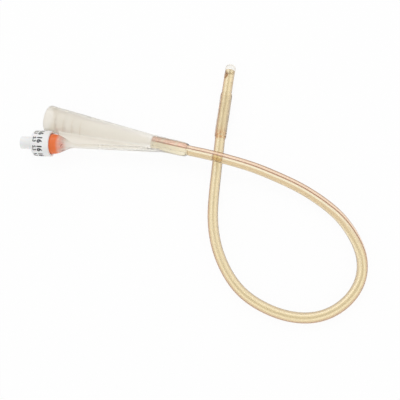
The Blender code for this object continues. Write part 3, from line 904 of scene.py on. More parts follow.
def oval_rod(
    start: Vector, end: Vector, half_length: float, half_width: float, along: Vector, sides: int = 40
) -> bpy.types.Mesh:
    """A closed rod with an oval section between two points.

    Args:
        start: the middle of one end.
        end: the middle of the other.
        half_length: the section's half size along the tube.
        half_width: its half size across the tube.
        along: the tube's direction there.
        sides: the number of sides.

    Returns:
        The rod's mesh.
    """
    shape = bmesh.new()
    depth = (end - start).length
    bmesh.ops.create_cone(shape, cap_ends=True, segments=sides, radius1=1, radius2=1, depth=depth)
    bmesh.ops.scale(shape, vec=(half_length, half_width, 1), verts=shape.verts)
    up = (end - start).normalized()
    first = (along - up * along.dot(up)).normalized()
    turned = Matrix((first, up.cross(first), up)).transposed().to_4x4()
    bmesh.ops.transform(shape, matrix=Matrix.Translation((start + end) / 2) @ turned, verts=shape.verts)
    return finished_mesh("oval_rod", shape)


def cut(
    base: bpy.types.Mesh, others: Iterable[bpy.types.Mesh], name: str, way: str = "DIFFERENCE"
) -> bpy.types.Mesh:
    """A mesh with others cut out of it or joined to it.

    Args:
        base: the mesh that is worked on.
        others: closed meshes.
        name: the result's name.
        way: DIFFERENCE or UNION.

    Returns:
        The finished mesh.
    """
    body = link_object(name, base)
    helpers = [link_object("cutter", mesh) for mesh in others]
    for helper in helpers:
        modifier = body.modifiers.new("cut", "BOOLEAN")
        modifier.operation = way
        modifier.solver = "EXACT"
        modifier.object = helper
    result = evaluated_mesh(body, name)
    for helper in helpers:
        bpy.data.objects.remove(helper)
    return result


class Recipe(Tree):
    """A geometry tree with named inputs, which a modifier runs once for each piece."""

    def __init__(self, name: str, kinds: dict[str, str]) -> None:
        """Starts the tree.

        Args:
            name: the tree's name.
            kinds: the kind of each input besides the geometry and the material, by the input's name.
        """
        super().__init__(bpy.data.node_groups.new(name, "GeometryNodeTree"))
        face = self.tree.interface
        for label, kind in {"Geometry": "Geometry", **kinds, "Material": "Material"}.items():
            face.new_socket(label, in_out="INPUT", socket_type=f"NodeSocket{kind}")
        face.new_socket("Geometry", in_out="OUTPUT", socket_type="NodeSocketGeometry")
        given = self.tree.nodes.new("NodeGroupInput")
        self.given = {entry.name: Flow(self, entry) for entry in given.outputs if entry.name}

    def realized(self, geometry: Flow) -> Flow:
        """The geometry with its instances made real."""
        return self.node("GeometryNodeRealizeInstances", {}, {"Geometry": geometry})

    def swept(self, curve: Flow, section: Flow, capped: bool) -> Flow:
        """A section swept along a curve."""
        sockets = {"Curve": curve, "Profile Curve": section, "Fill Caps": capped}
        return self.node("GeometryNodeCurveToMesh", {}, sockets)

    def circle(self, radius: Flow, sides: Any) -> Flow:
        """A round section."""
        sockets = {"Resolution": sides, "Radius": radius}
        return self.node("GeometryNodeCurvePrimitiveCircle", {"mode": "RADIUS"}, sockets)

    def finish(self, geometry: Flow) -> None:
        """Gives the geometry its material and ends the tree."""
        sockets = {"Geometry": geometry, "Material": self.given["Material"]}
        coated = self.node("GeometryNodeSetMaterial", {}, sockets)
        self.node("NodeGroupOutput", {}, {"Geometry": coated})

    def run(self, name: str, data: bpy.types.ID, inputs: dict[str, Any]) -> bpy.types.Mesh:
        """Runs the tree on an object of some data.

        Args:
            name: the mesh's name.
            data: the curve or the mesh that the tree starts from.
            inputs: values by the names of the inputs.

        Returns:
            The plain mesh that the tree makes.
        """
        guide = link_object(name, data)
        modifier = guide.modifiers.new(name, "NODES")
        modifier.node_group = self.tree
        for entry in self.tree.interface.items_tree:
            if entry.in_out == "INPUT" and entry.name in inputs:
                modifier[entry.identifier] = inputs[entry.name]
        return evaluated_mesh(guide, name)


class SweepTree(Recipe):
    """A geometry tree that sweeps a round section along a curve."""

    def __init__(self, name: str, normals: str = "Z_UP") -> None:
        """Builds the tree.

        Args:
            name: the tree's name.
            normals: how the section is kept from turning round the curve.
        """
        super().__init__(name, {"Radius": "Float", "Offset": "Vector", "Sides": "Int"})
        curve = {"Curve": self.given["Geometry"]}
        level = self.node("GeometryNodeSetCurveNormal", {"mode": normals}, curve)
        circle = self.circle(self.given["Radius"], self.given["Sides"])
        sockets = {"Geometry": circle, "Translation": self.given["Offset"]}
        moved = self.node("GeometryNodeTransform", {}, sockets)
        self.finish(self.realized(self.swept(level, moved, True)))

    def sweep(
        self,
        name: str,
        points: Sequence[Vector],
        radius: float,
        offset: float,
        sides: int,
        material: bpy.types.Material,
    ) -> bpy.types.Mesh:
        """A closed rod along points.

        Args:
            name: the mesh's name.
            points: the line that it follows.
            radius: the section's radius.
            offset: how far the section lies towards the loop's inside.
            sides: the section's number of sides.
            material: its finish.

        Returns:
            The rod's mesh.
        """
        curve = bpy.data.curves.new(name, "CURVE")
        curve.dimensions = "3D"
        spline = curve.splines.new("POLY")
        spline.points.add(len(points) - 1)
        for knot, place in zip(spline.points, points):
            knot.co = (*place, 1)
        aside = (offset, 0.0, 0.0)
        inputs = {"Radius": radius, "Offset": aside, "Sides": sides, "Material": material}
        return self.run(name, curve, inputs)


@dataclass
class Route:
    """The shaft's centreline, from its end inside the hub to the rounded tip."""

    hub_end: Vector
    socket_depth: float
    samples: int = 2000
    reach: float = 0.0013
    curve: np.ndarray = field(init=False)
    run: np.ndarray = field(init=False)

    def __post_init__(self) -> None:
        """Lays a cubic through the route's points, clamped along the hub's axis and free at the tip."""
        knots = np.array(SHAFT_ROUTE) * MM
        knots[:, :2] += (self.hub_end.x, self.hub_end.y)
        gaps = np.linalg.norm(np.diff(knots, axis=0), axis=1)
        at = np.concatenate([[0], np.cumsum(gaps)])
        count = len(knots)
        slopes = np.diff(knots, axis=0) / gaps[:, None]
        matrix = np.eye(count)
        wanted = np.zeros((count, 3))
        matrix[0, :2] = (2 * gaps[0], gaps[0])
        wanted[0] = 6 * (slopes[0] - np.array(HUB_AXIS))
        for i in range(1, count - 1):
            matrix[i, i - 1 : i + 2] = (gaps[i - 1], 2 * (gaps[i - 1] + gaps[i]), gaps[i])
            wanted[i] = 6 * (slopes[i] - slopes[i - 1])
        bends = np.linalg.solve(matrix, wanted)
        fine = np.linspace(0, at[-1], self.samples)
        span = np.clip(np.searchsorted(at, fine, side="right") - 1, 0, count - 2)
        gap = gaps[span][:, None]
        past = (fine - at[span])[:, None] / gap
        left = 1 - past
        pull = (left**3 - left) * bends[span] + (past**3 - past) * bends[span + 1]
        self.curve = left * knots[span] + past * knots[span + 1] + gap**2 / 6 * pull
        steps = np.linalg.norm(np.diff(self.curve, axis=0), axis=1)
        self.run = np.concatenate([[0], np.cumsum(steps)])

    @property
    def length(self) -> float:
        """The free length from the hub's end to the very tip."""
        return float(self.run[-1])

    def point(self, along: float) -> Vector:
        """The place at a distance from the hub's end, negative inside the hub."""
        if along < 0:
            return self.hub_end + HUB_AXIS * along
        if along > self.length:
            return self.point(self.length) + self.heading(self.length) * (along - self.length)
        return Vector([float(np.interp(along, self.run, self.curve[:, k])) for k in range(3)])

    def heading(self, along: float) -> Vector:
        """The direction of travel there, towards the tip, read over the reach to both sides."""
        if along < 0:
            return HUB_AXIS.copy()
        first = min(along, self.length - self.reach)
        return (self.point(first + self.reach) - self.point(max(first - self.reach, 0))).normalized()

    def inside(self, along: float) -> Vector:
        """The level direction across the shaft there, towards the inside of the loop."""
        return self.heading(along).cross(UP).normalized()

    def upward(self, along: float) -> Vector:
        """The direction across the shaft there that is closest to straight up."""
        return self.inside(along).cross(self.heading(along))

    def stations(self, first: float, last: float, step: float) -> list[float]:
        """Distances between two places, both included, about a step apart."""
        count = max(round((last - first) / step), 2)
        return [blend(first, last, i / count) for i in range(count + 1)]


@dataclass
class SoftLine:
    """The shaft with its balloon and its rounded tip, as they lie in the loop.

    The stripe's turns are (distance from the hub's end, degrees round the shaft) pairs.
    """

    route: Route
    radius: float = SHAFT_RADIUS
    drain_radius: float = DRAIN_RADIUS
    drain_offset: float = 0.00035
    fill_radius: float = 0.00035
    fill_offset: float = 0.00195
    fit: float = 0.0003
    touch: float = TOUCH
    eyes: tuple[Station, ...] = ((0.0068, math.radians(40)), (0.0120, math.radians(-125)))
    eye_half_length: float = 0.0020
    eye_half_width: float = 0.00095
    eye_margin: float = 1.04
    balloon_start: float = 0.0175
    balloon_length: float = 0.0258
    balloon_thickness: float = 0.00045
    balloon_taper: float = 0.0011
    balloon_end_share: float = 0.45
    fold_count: int = 7
    fold_depth: float = 0.00003
    fold_waver: float = 2.0
    fold_pace: float = 160.0
    tip_length: float = 0.0037
    tip_nose_flat: float = 0.0009
    spigot_length: float = 0.0016
    dome_steps: int = 17
    over: float = 0.001
    step: float = 0.0008
    sides: int = 64
    balloon_sides: int = 128
    lumen_sides: int = 32
    fill_sides: int = 12
    mark_batch: int = 1000
    stripe_turns: tuple[Station, ...] = (
        (-0.018, 22),
        (-0.001, 22),
        (0.004, 17),
        (0.045, 17),
        (0.080, 26),
        (0.100, 52),
        (0.120, 92),
        (0.160, 102),
        (0.204, 84),
        (0.240, 71),
        (0.290, 72),
    )

    def build(self) -> None:
        balloon = self.build_balloon()
        tip = self.build_tip()
        shaft, path = self.build_shaft()
        for piece, slot, node in (
            (shaft, Slot.SHAFT, "shaft_tube"),
            (balloon, Slot.BALLOON, "balloon_sleeve"),
            (tip, Slot.TIP, "tip_plug"),
        ):
            settle(piece, slot, node)

    @property
    def shaft_start(self) -> float:
        """Where the extrusion begins, inside the hub's socket."""
        return -(self.route.socket_depth - self.fit)

    @property
    def shaft_end(self) -> float:
        """Where the extrusion ends, at the tip's plug."""
        return self.route.length - self.tip_length

    def mark(self, mesh: bpy.types.Mesh, first: float, last: float) -> None:
        """Writes where each point of a mesh lies round and along the shaft, for the finishes to read.

        Args:
            mesh: a mesh on the shaft.
            first: the distance from the hub's end where its run starts.
            last: where it ends.
        """
        stations = self.route.stations(first, last, self.step / 2)
        centres, inside, upward = (
            np.array([read(s) for s in stations])
            for read in (self.route.point, self.route.inside, self.route.upward)
        )
        places = mesh_points(mesh)
        nearest = np.empty(len(places), int)
        for start in range(0, len(places), self.mark_batch):
            batch = slice(start, start + self.mark_batch)
            nearest[batch] = ((places[batch, None] - centres[None]) ** 2).sum(2).argmin(1)
        arm = places - centres[nearest]
        outward = -(arm * inside[nearest]).sum(1) / self.radius
        lift = (arm * upward[nearest]).sum(1) / self.radius
        run = np.array(stations)[nearest]
        turn = np.radians(np.interp(run, *np.array(self.stripe_turns).T))
        across = outward * np.cos(turn) - lift * np.sin(turn)
        along = outward * np.sin(turn) + lift * np.cos(turn)
        write_attribute(mesh, "stripe", flat_vectors(across, along))
        write_attribute(mesh, "run", run - first)
        write_attribute(mesh, "buried", run < 0)

    def eye_frame(self, distance: float, turn: float) -> tuple[Vector, Vector, Vector]:
        """An eye's middle on the centreline, the shaft's heading there and the way that the eye faces."""
        place = self.route.length - distance
        heading = self.route.heading(place)
        facing = Matrix.Rotation(turn, 3, heading) @ -self.route.inside(place)
        return self.route.point(place), heading, facing

    def mark_eye_shade(self, mesh: bpy.types.Mesh) -> None:
        """Marks the wall of the drainage eye that can be seen, which gets a painted dark shade."""
        middle, heading, facing = self.eye_frame(*self.eyes[0])
        arm = mesh_points(mesh) - np.array(middle)
        along = arm @ np.array(heading) / self.eye_half_length
        across = arm @ np.array(facing.cross(heading)) / self.eye_half_width
        on_wall = (np.hypot(along, across) < self.eye_margin) & (arm @ np.array(facing) > 0)
        write_attribute(mesh, "eye", whole_faces(mesh, on_wall), "FACE")

    def build_shaft(self) -> tuple[bpy.types.Object, list[tuple[float, ...]]]:
        """The two-lumen extrusion with its drainage eyes, and the line that it follows."""
        amber = AMBER.make()
        sweeper = SweepTree("swept_section")
        stations = self.route.stations(self.shaft_start, self.shaft_end, self.step)
        path = [self.route.point(s) for s in stations]
        ends = (self.shaft_start - self.over, self.shaft_end + self.over)
        before, after = (self.route.point(end) for end in ends)
        fill_end = self.route.length - self.balloon_start - self.balloon_length / 2
        fill_path = [p for s, p in zip(stations, path) if 0 <= s < fill_end]
        outside, drain, fill = (
            sweeper.sweep(name, points, radius, offset, sides, amber)
            for name, points, radius, offset, sides in (
                ("shaft", path, self.radius, 0.0, self.sides),
                ("drain", [before, *path, after], self.drain_radius, -self.drain_offset, self.lumen_sides),
                ("fill", fill_path, self.fill_radius, self.fill_offset, self.fill_sides),
            )
        )
        rods = []
        for distance, turn in self.eyes:
            start, heading, facing = self.eye_frame(distance, turn)
            end = start + facing * (self.radius + self.over)
            rods.append(oval_rod(start, end, self.eye_half_length, self.eye_half_width, heading))
        mesh = cut(outside, [drain, fill, *rods], "shaft")
        self.mark(mesh, self.shaft_start, self.shaft_end)
        self.mark_eye_shade(mesh)
        return link_piece("shaft", mesh, amber), [tuple(p) for p in path]

    def balloon_radii(self, along: float, share: float) -> list[float]:
        """The balloon's outer radii round one section.

        Args:
            along: the section's distance from the hub's end.
            share: how far the taper there has risen to the full thickness.

        Returns:
            One radius for each side.
        """
        end = self.radius + self.balloon_thickness * self.balloon_end_share
        full = self.radius + self.balloon_thickness
        waver = self.fold_waver * math.sin(along * self.fold_pace)
        radii = []
        for turn in ring_angles(self.balloon_sides):
            fold = 0.5 + 0.5 * math.sin(self.fold_count * turn + waver)
            radii.append(blend(end, full - self.fold_depth * fold * share, share))
        return radii

    def ring(
        self, shape: bmesh.types.BMesh, along: float, radii: Sequence[float]
    ) -> list[bmesh.types.BMVert]:
        """Points round the shaft.

        Args:
            shape: the shape that they are added to.
            along: their distance from the hub's end.
            radii: one radius for each point.

        Returns:
            The ring of points.
        """
        middle = self.route.point(along)
        inside = self.route.inside(along)
        upward = self.route.upward(along)
        turns = ring_angles(len(radii))
        return [
            shape.verts.new(middle + (inside * math.cos(turn) + upward * math.sin(turn)) * radius)
            for turn, radius in zip(turns, radii)
        ]

    def build_balloon(self) -> bpy.types.Object:
        """The deflated balloon: a thin sleeve with faint lengthwise folds and tapered ends."""
        last = self.route.length - self.balloon_start
        first = last - self.balloon_length
        stations = self.route.stations(first, last, self.step)
        inner = [self.radius - self.touch] * self.balloon_sides
        shape = bmesh.new()
        rings = []
        for along in stations:
            near = min(along - first, last - along)
            share = math.sin(min(near / self.balloon_taper, 1.0) * math.pi / 2)
            rings.append(self.ring(shape, along, self.balloon_radii(along, share)))
        rings += [self.ring(shape, along, inner) for along in reversed(stations)]
        mesh = bridged_mesh("balloon", shape, [*rings, rings[0]])
        self.mark(mesh, first, last)
        return link_piece("balloon", mesh, BROWN.make())

    def build_tip(self) -> bpy.types.Object:
        """The clear rounded tip with the spigot that plugs the drainage lumen."""
        heading = self.route.heading(self.shaft_end)
        face = self.route.point(self.shaft_end) - heading * self.touch
        length = self.tip_length + self.touch
        dome = self.radius - self.tip_nose_flat
        nose = [(0.0, 0.0), (0.0, self.radius)]
        for sine, cosine in quarter(self.dome_steps):
            nose.append((length - dome * (1 - sine), self.tip_nose_flat + dome * cosine))
        nose.append((length, 0.0))
        width = self.drain_radius + self.touch
        rod = [(-self.spigot_length, 0.0), (-self.spigot_length, width), (self.fit, width), (self.fit, 0.0)]
        aside = face - self.route.inside(self.shaft_end) * self.drain_offset
        spigot = turned_mesh("spigot", rod, aside, heading, self.lumen_sides)
        mesh = cut(turned_mesh("tip", nose, face, heading, self.sides), [spigot], "tip", "UNION")
        self.mark(mesh, self.shaft_end - 2 * self.spigot_length, self.route.length)
        return link_piece("tip", mesh, CLEAR.make())


@dataclass(frozen=True)
class HubPlaces:
    """Where the points of the hub's mesh lie against its two axes.

    Along and aside are read on the valve's axis from the nozzle's tip, and run and off_axis on the
    funnel's axis from its mouth. Back is level towards the arm, and rise is above that axis.
    """

    along: np.ndarray
    aside: np.ndarray
    round_valve: np.ndarray
    run: np.ndarray
    back: np.ndarray
    rise: np.ndarray
    off_axis: np.ndarray
    funnel: np.ndarray


@dataclass
class Hub:
    """The hub moulding: funnel, neck, inflation arm, web and flare, with rounded rims and grip rings.

    The flare's wall touches the core here, so that the core fills it as it does through real silicone.
    """

    mouth: Vector
    valve_tip: Vector
    valve_axis: Vector
    length: float = HUB_LENGTH
    mouth_radius: float = 0.0072
    mouth_wall: float = 0.0011
    rim: float = 0.00045
    funnel_length: float = HUB_LENGTH - SOCKET_DEPTH - 0.0025
    funnel_end_radius: float = 0.0040
    neck_radius: float = 0.0037167
    neck_end_radius: float = 0.0029667
    neck_end_taper: float = 0.0045
    neck_fade: Span = (-0.0005, 0.001)
    throat_radius: float = 0.0017
    drain_radius: float = DRAIN_RADIUS
    shaft_radius: float = SHAFT_RADIUS
    socket_depth: float = SOCKET_DEPTH
    ring_height: float = 0.00035
    ring_half_width: float = 0.00055
    ring_show: float = 0.7
    ring_turn: float = 0.2
    arm_root: float = 0.0803
    valve_reach: float = 0.0911
    arm_radius: float = 0.0016
    arm_buried: float = 0.0070
    channel_radius: float = 0.0007
    channel_short: float = 0.0144
    core_start: float = 0.0094
    core_radius: float = 0.00435
    core_nose: float = 0.0040
    core_end_radius: float = 0.0026
    core_fade: tuple[Station, ...] = ((0.0032, 1.0), (0.0065, 0.4), (0.0120, 0.0))
    collar_end: float = 0.0168
    flare_radius: float = 0.0053
    flare_wall: float = 0.00065
    flare_clear: float = 0.2
    bell_length: float = 0.0125
    bell_shape: float = 2.4
    room_span: Span = (0.36, 0.98)
    glow_length: float = 0.0090
    glow_fade: float = 1.5
    web_thickness: float = 0.0030
    web_hollow: float = 0.0012
    web_from_collar: float = 0.0012
    web_upright: float = 0.99
    web_level: float = 0.9999
    under_start: float = 0.005
    under_drop: float = 0.3
    under_reach: float = 0.2
    touch: float = TOUCH
    slack: float = 0.00025
    over: float = 0.002
    sides: int = 96
    rim_steps: int = 7
    taper_steps: int = 10
    end_steps: int = 11
    ring_steps: int = 11
    nose_steps: int = 15
    room_steps: int = 16
    bell_steps: int = 29
    web_steps: int = 17

    def build(self) -> None:
        funnel, bore = (
            turned_mesh(name, profile, self.mouth, HUB_AXIS, self.sides)
            for name, profile in (("funnel", self.outside()), ("bore", self.bore()))
        )
        arm, cavity = (
            turned_mesh(name, profile, self.valve_tip, self.valve_axis, self.sides)
            for name, profile in (("arm", self.arm_outside()), ("cavity", self.cavity()))
        )
        whole = cut(funnel, [arm, self.web()], "hub", "UNION")
        mesh = cut(whole, [bore, cavity], "hub")
        self.mark(mesh)
        piece = link_piece("hub", mesh, MILKY.make())
        for face, web in zip(mesh.polygons, mesh.attributes["web"].data):
            if web.value and abs(face.normal.z) > self.web_level:
                face.use_smooth = False
        settle(piece, Slot.HUB, "drain_funnel")

    def outside(self) -> list[Station]:
        """The funnel's and the neck's outer profile."""
        rim = [
            (self.rim * (1 - cosine), self.mouth_radius - self.rim * (1 - sine))
            for sine, cosine in quarter(self.rim_steps)
        ]
        taper = [
            (self.funnel_length * s, blend(self.mouth_radius, self.funnel_end_radius, s))
            for s in np.linspace(1 / self.taper_steps, 1, self.taper_steps)
        ]
        end = [
            (
                self.length - self.neck_end_taper * (1 - sine),
                blend(self.neck_end_radius, self.neck_radius, cosine),
            )
            for sine, cosine in quarter(self.end_steps)
        ]
        return [(0, 0), *rim, *taper, *end, (self.length, 0)]

    def bore_radius(self, along: Values) -> Values:
        """The smooth funnel bore's radius at a place."""
        return blend(self.mouth_radius - self.mouth_wall, self.throat_radius, along / self.funnel_length)

    def bore(self) -> list[Station]:
        """The bore's profile: a rounded mouth, grip rings, the throat and the shaft's socket."""
        wide = self.bore_radius(0) + self.rim
        profile = [(-self.over, 0), (-self.over, wide)]
        for sine, cosine in quarter(self.rim_steps):
            profile.append((self.rim * (1 - cosine), wide - self.rim * sine))
        for i in range(RING_COUNT):
            centre = RING_FIRST + i * RING_PITCH
            for t in np.linspace(-1, 1, self.ring_steps):
                along = centre + t * self.ring_half_width
                bump = self.ring_height * math.cos(t * math.pi / 2) ** 2
                profile.append((along, self.bore_radius(along) - bump))
        socket = self.length - self.socket_depth
        tight = self.shaft_radius - self.touch
        profile += [(self.funnel_length, self.throat_radius), (socket, self.drain_radius)]
        profile += [(socket, tight), (self.length + self.over, tight), (self.length + self.over, 0)]
        return profile

    def flare(self, along: Values) -> Values:
        """The outer radius of the flare's bell at a place along the valve."""
        share = np.clip((along - self.collar_end) / self.bell_length, 0, 1)
        return blend(self.flare_radius, self.arm_radius, np.sin(share * math.pi / 2) ** self.bell_shape)

    def arm_outside(self) -> list[Station]:
        """The flare's and the arm's outer profile."""
        bell = [self.collar_end + self.bell_length * s for s in np.linspace(0, 1, self.bell_steps)]
        end = self.valve_reach - self.arm_buried
        barrel = [(self.core_start, 0), (self.core_start, self.flare_radius)]
        return [*barrel, *[(a, self.flare(a)) for a in bell], (end, self.arm_radius), (end, 0)]

    def cavity(self) -> list[Station]:
        """The core's seat, the room behind the core and the arm's channel."""
        start = self.core_start - self.over
        profile = [(start, 0), (start, self.core_radius - self.touch)]
        for sine, cosine in quarter(self.nose_steps):
            radius = blend(self.core_end_radius, self.core_radius, cosine) - self.touch
            profile.append((self.collar_end + self.core_nose * sine, radius))
        nose_radius = profile[-1][1]
        arm_wall = self.arm_radius - self.channel_radius
        for s in np.linspace(*self.room_span, self.room_steps):
            along = self.collar_end + self.bell_length * s
            inside = self.flare(along) - blend(self.flare_wall, arm_wall, s)
            profile.append((along, min(nose_radius, inside)))
        end = self.valve_reach - self.channel_short
        profile.append((self.collar_end + self.bell_length, self.channel_radius))
        return [*profile, (end, self.channel_radius), (end, 0)]

    def web(self) -> bpy.types.Mesh:
        """The flat web in the hub's plane, between the two axes, with a hollow front edge."""
        front = self.valve_reach - self.collar_end - self.web_from_collar
        root = self.mouth + HUB_AXIS * self.arm_root
        outline = [root - (HUB_AXIS + self.valve_axis) * self.arm_buried / 2]
        for s in np.linspace(0, 1, self.web_steps):
            hollow = HUB_AXIS * self.web_hollow * math.sin(math.pi * s)
            edge = (root - HUB_AXIS * front).lerp(root - self.valve_axis * front, s)
            outline.append(edge + hollow)
        shape = bmesh.new()
        face = shape.faces.new([shape.verts.new(p - UP * self.web_thickness / 2) for p in outline])
        raised = bmesh.ops.extrude_face_region(shape, geom=[face])["geom"]
        top = [v for v in raised if isinstance(v, bmesh.types.BMVert)]
        bmesh.ops.translate(shape, vec=UP * self.web_thickness, verts=top)
        return finished_mesh("web", shape)

    def measure(self, mesh: bpy.types.Mesh) -> HubPlaces:
        """Measures a mesh's points against the hub's two axes."""
        places = mesh_points(mesh)
        axis = np.array(self.valve_axis)
        arm = places - np.array(self.valve_tip)
        along = arm @ axis
        aside = np.linalg.norm(arm - along[:, None] * axis, axis=1)
        level = arm @ np.array(self.valve_axis.cross(UP))
        run, across, rise = (places - np.array(self.mouth)).T
        return HubPlaces(
            along=along,
            aside=aside,
            round_valve=flat_vectors(level, arm[:, 2]) / np.maximum(aside, WELD)[:, None],
            run=run,
            back=-across,
            rise=rise,
            off_axis=np.hypot(across, rise),
            funnel=np.interp(run, (0, self.funnel_length), (self.mouth_radius, self.funnel_end_radius)),
        )

    def web_faces(self, mesh: bpy.types.Mesh, at: HubPlaces) -> np.ndarray:
        """One for the web's level faces and for the funnel's faces under it, and zero elsewhere."""
        outside = at.off_axis > at.funnel - self.touch
        flat = outside & (np.abs(at.rise) < self.web_thickness / 2 + self.touch) & (at.back > 0)
        flat &= (at.aside > self.arm_radius - self.touch) & (at.along > self.collar_end + self.touch)
        upright = np.array([abs(face.normal.z) > self.web_upright for face in mesh.polygons])
        under = outside & (at.off_axis < at.funnel + self.touch) & (at.run > self.under_start)
        under &= at.rise < -self.under_drop * self.web_thickness
        under &= at.back > self.under_reach * at.funnel
        return np.maximum(whole_faces(mesh, flat) * upright, whole_faces(mesh, under))

    def mark(self, mesh: bpy.types.Mesh) -> None:
        """Writes what kind of wall lies at each point, for the finish to read."""
        at = self.measure(mesh)
        past_collar = at.along - self.collar_end
        on_flare = (at.aside < self.flare_radius + self.slack) & (past_collar < self.bell_length)
        on_skin = on_flare & (at.aside > self.flare(at.along) - self.flare_wall / 3)
        lining = on_flare & ~on_skin & (past_collar > 0)
        glow = 1 - np.clip(past_collar / self.glow_length, 0, 1)
        core = np.interp(past_collar, *np.array(self.core_fade).T)
        neck = np.interp(at.run - (self.length - self.socket_depth), self.neck_fade, (0, 1))
        neck *= at.off_axis < self.neck_radius + self.slack
        in_bore = (at.off_axis < self.bore_radius(at.run) + self.rim / 2) & (at.run < self.funnel_length)
        # The rings' painted shade shows on the outer wall, stronger towards the arm's side.
        below = self.ring_show * np.clip(self.ring_turn + at.back / at.funnel, 0, 1)
        below *= at.off_axis < at.funnel + self.touch
        clear = np.where(glow > 0, self.flare_clear * on_flare, neck)
        for name, values in (
            ("run", at.run),
            ("bell", at.round_valve),
            ("warm", np.where(on_flare, glow**self.glow_fade, 0)),
            ("core", np.where(on_skin, core, 0)),
            ("bore", in_bore),
            ("ringed", np.where(in_bore, 1.0, below)),
            ("clear", np.where(lining, 1.0, clear)),
        ):
            write_attribute(mesh, name, values)
        write_attribute(mesh, "web", self.web_faces(mesh, at), "FACE")


@dataclass(frozen=True)
class FigureRow:
    """A text that is repeated round the collar, at a distance from the nozzle's tip."""

    text: str
    along: float
    size: float
    count: int


class PrintTree(Recipe):
    """A geometry tree that repeats a text round a drum, as thin raised ink with rounded strokes."""

    outline_step: float = 0.08
    pen_share: float = 0.05
    pen_sides: int = 6
    pen_flatness: float = 0.15
    pen_lift: float = 0.00004

    def __init__(self, name: str) -> None:
        """Builds the tree: the figures, their row, and the row bent round the drum."""
        lengths = ("Size", "Drum Radius", "Along", "Ink Root", "Ink Height")
        super().__init__(name, {"Text": "String", **dict.fromkeys(lengths, "Float"), "Count": "Int"})
        self.finish(self.bent(self.row(self.figures())))

    def vector(self, **parts: Any) -> Flow:
        """A vector with these parts, and nothing in the others."""
        return self.node("ShaderNodeCombineXYZ", {}, parts)

    def figures(self) -> Flow:
        """The text as a raised slab with a fine stroke round each outline."""
        size = self.given["Size"]
        middle = {"align_x": "CENTER", "align_y": "MIDDLE"}
        text = {"String": self.given["Text"], "Size": size}
        curves = self.realized(self.node("GeometryNodeStringToCurves", middle, text))
        spacing = {"Curve": curves, "Length": size * self.outline_step}
        evenly = self.node("GeometryNodeResampleCurve", {"mode": "LENGTH"}, spacing)
        flat = self.node("GeometryNodeFillCurve", {"mode": "NGONS"}, {"Curve": evenly})
        stroke = self.swept(evenly, self.circle(size * self.pen_share, self.pen_sides), False)
        press = {
            "Geometry": stroke,
            "Scale": (1.0, 1.0, self.pen_flatness),
            "Translation": (0.0, 0.0, self.pen_lift),
        }
        pressed = self.node("GeometryNodeTransform", {}, press)
        three = self.node("GeometryNodeTriangulate", {}, {"Mesh": flat})
        lift = {
            "Mesh": three,
            "Offset": self.vector(Z=1.0),
            "Offset Scale": self.given["Ink Height"] + self.given["Ink Root"],
            "Individual": False,
        }
        raised = self.node("GeometryNodeExtrudeMesh", {"mode": "FACES"}, lift)
        back = self.node("GeometryNodeFlipFaces", {}, {"Mesh": three})
        both = self.node("GeometryNodeJoinGeometry", {}, {"Geometry": [raised, back]})
        shut = self.node("GeometryNodeMergeByDistance", {}, {"Geometry": both, "Distance": WELD})
        return self.node("GeometryNodeJoinGeometry", {}, {"Geometry": [shut, pressed]})

    def row(self, figures: Flow) -> Flow:
        """The figures in a straight row that is as long as the drum's girth."""
        pitch = 2 * math.pi * self.given["Drum Radius"] / self.given["Count"]
        places = {"Count": self.given["Count"], "Offset": self.vector(X=pitch)}
        line = self.node("GeometryNodeMeshLine", {"mode": "OFFSET"}, places)
        spread = {"Points": line, "Instance": figures}
        return self.realized(self.node("GeometryNodeInstanceOnPoints", {}, spread))

    def bent(self, row: Flow) -> Flow:
        """The row bent round the drum."""
        x, y, z = self.parts(self.node("GeometryNodeInputPosition"))
        angle = x / self.given["Drum Radius"]
        radius = self.given["Drum Radius"] - self.given["Ink Root"] + z
        place = self.vector(
            X=radius * angle.maths("COSINE"),
            Y=radius * angle.maths("SINE"),
            Z=self.given["Along"] + y,
        )
        return self.node("GeometryNodeSetPosition", {}, {"Geometry": row, "Position": place})


@dataclass
class Valve:
    """The valve's solids with their finishes, and the figures printed round its collar."""

    tip: Vector
    axis: Vector
    collar_radius: float = 0.0068
    rows: tuple[FigureRow, ...] = (
        FigureRow("5.3", 0.0092, 0.0024, 9),
        FigureRow("16", 0.0120, 0.0037, 9),
    )
    ink_height: float = 0.00003
    ink_root: float = 0.00003

    def build(self) -> None:
        """Dresses the solids and prints the figures."""
        for node, finish in (
            ("valve_cap", WHITE),
            ("valve_core", ORANGE),
            ("valve_stem", IVORY),
            ("stem_seal", BLACK),
        ):
            mesh = frame["nodes"][node].data
            mesh.materials.clear()
            mesh.materials.append(finish.make())
        printer = PrintTree("printed_ring")
        ink = INK.make()
        for number, row in enumerate(self.rows):
            self.print_row(printer, f"figures_{number}", row, ink)

    def print_row(self, printer: PrintTree, name: str, row: FigureRow, ink: bpy.types.Material) -> None:
        """Prints one row of figures round the collar.

        Args:
            printer: the geometry tree of a printed ring.
            name: the piece's name.
            row: the figures and their place.
            ink: the finish.
        """
        inputs = {
            "Text": row.text,
            "Size": row.size,
            "Drum Radius": self.collar_radius,
            "Along": row.along,
            "Ink Root": self.ink_root,
            "Ink Height": self.ink_height,
            "Count": row.count,
            "Material": ink,
        }
        mesh = printer.run(name, bpy.data.meshes.new(name), inputs)
        turn = UP.rotation_difference(self.axis).to_matrix().to_4x4()
        mesh.transform(Matrix.Translation(self.tip) @ turn)
        settle(link_piece(name, mesh, ink), Slot.PRINT)


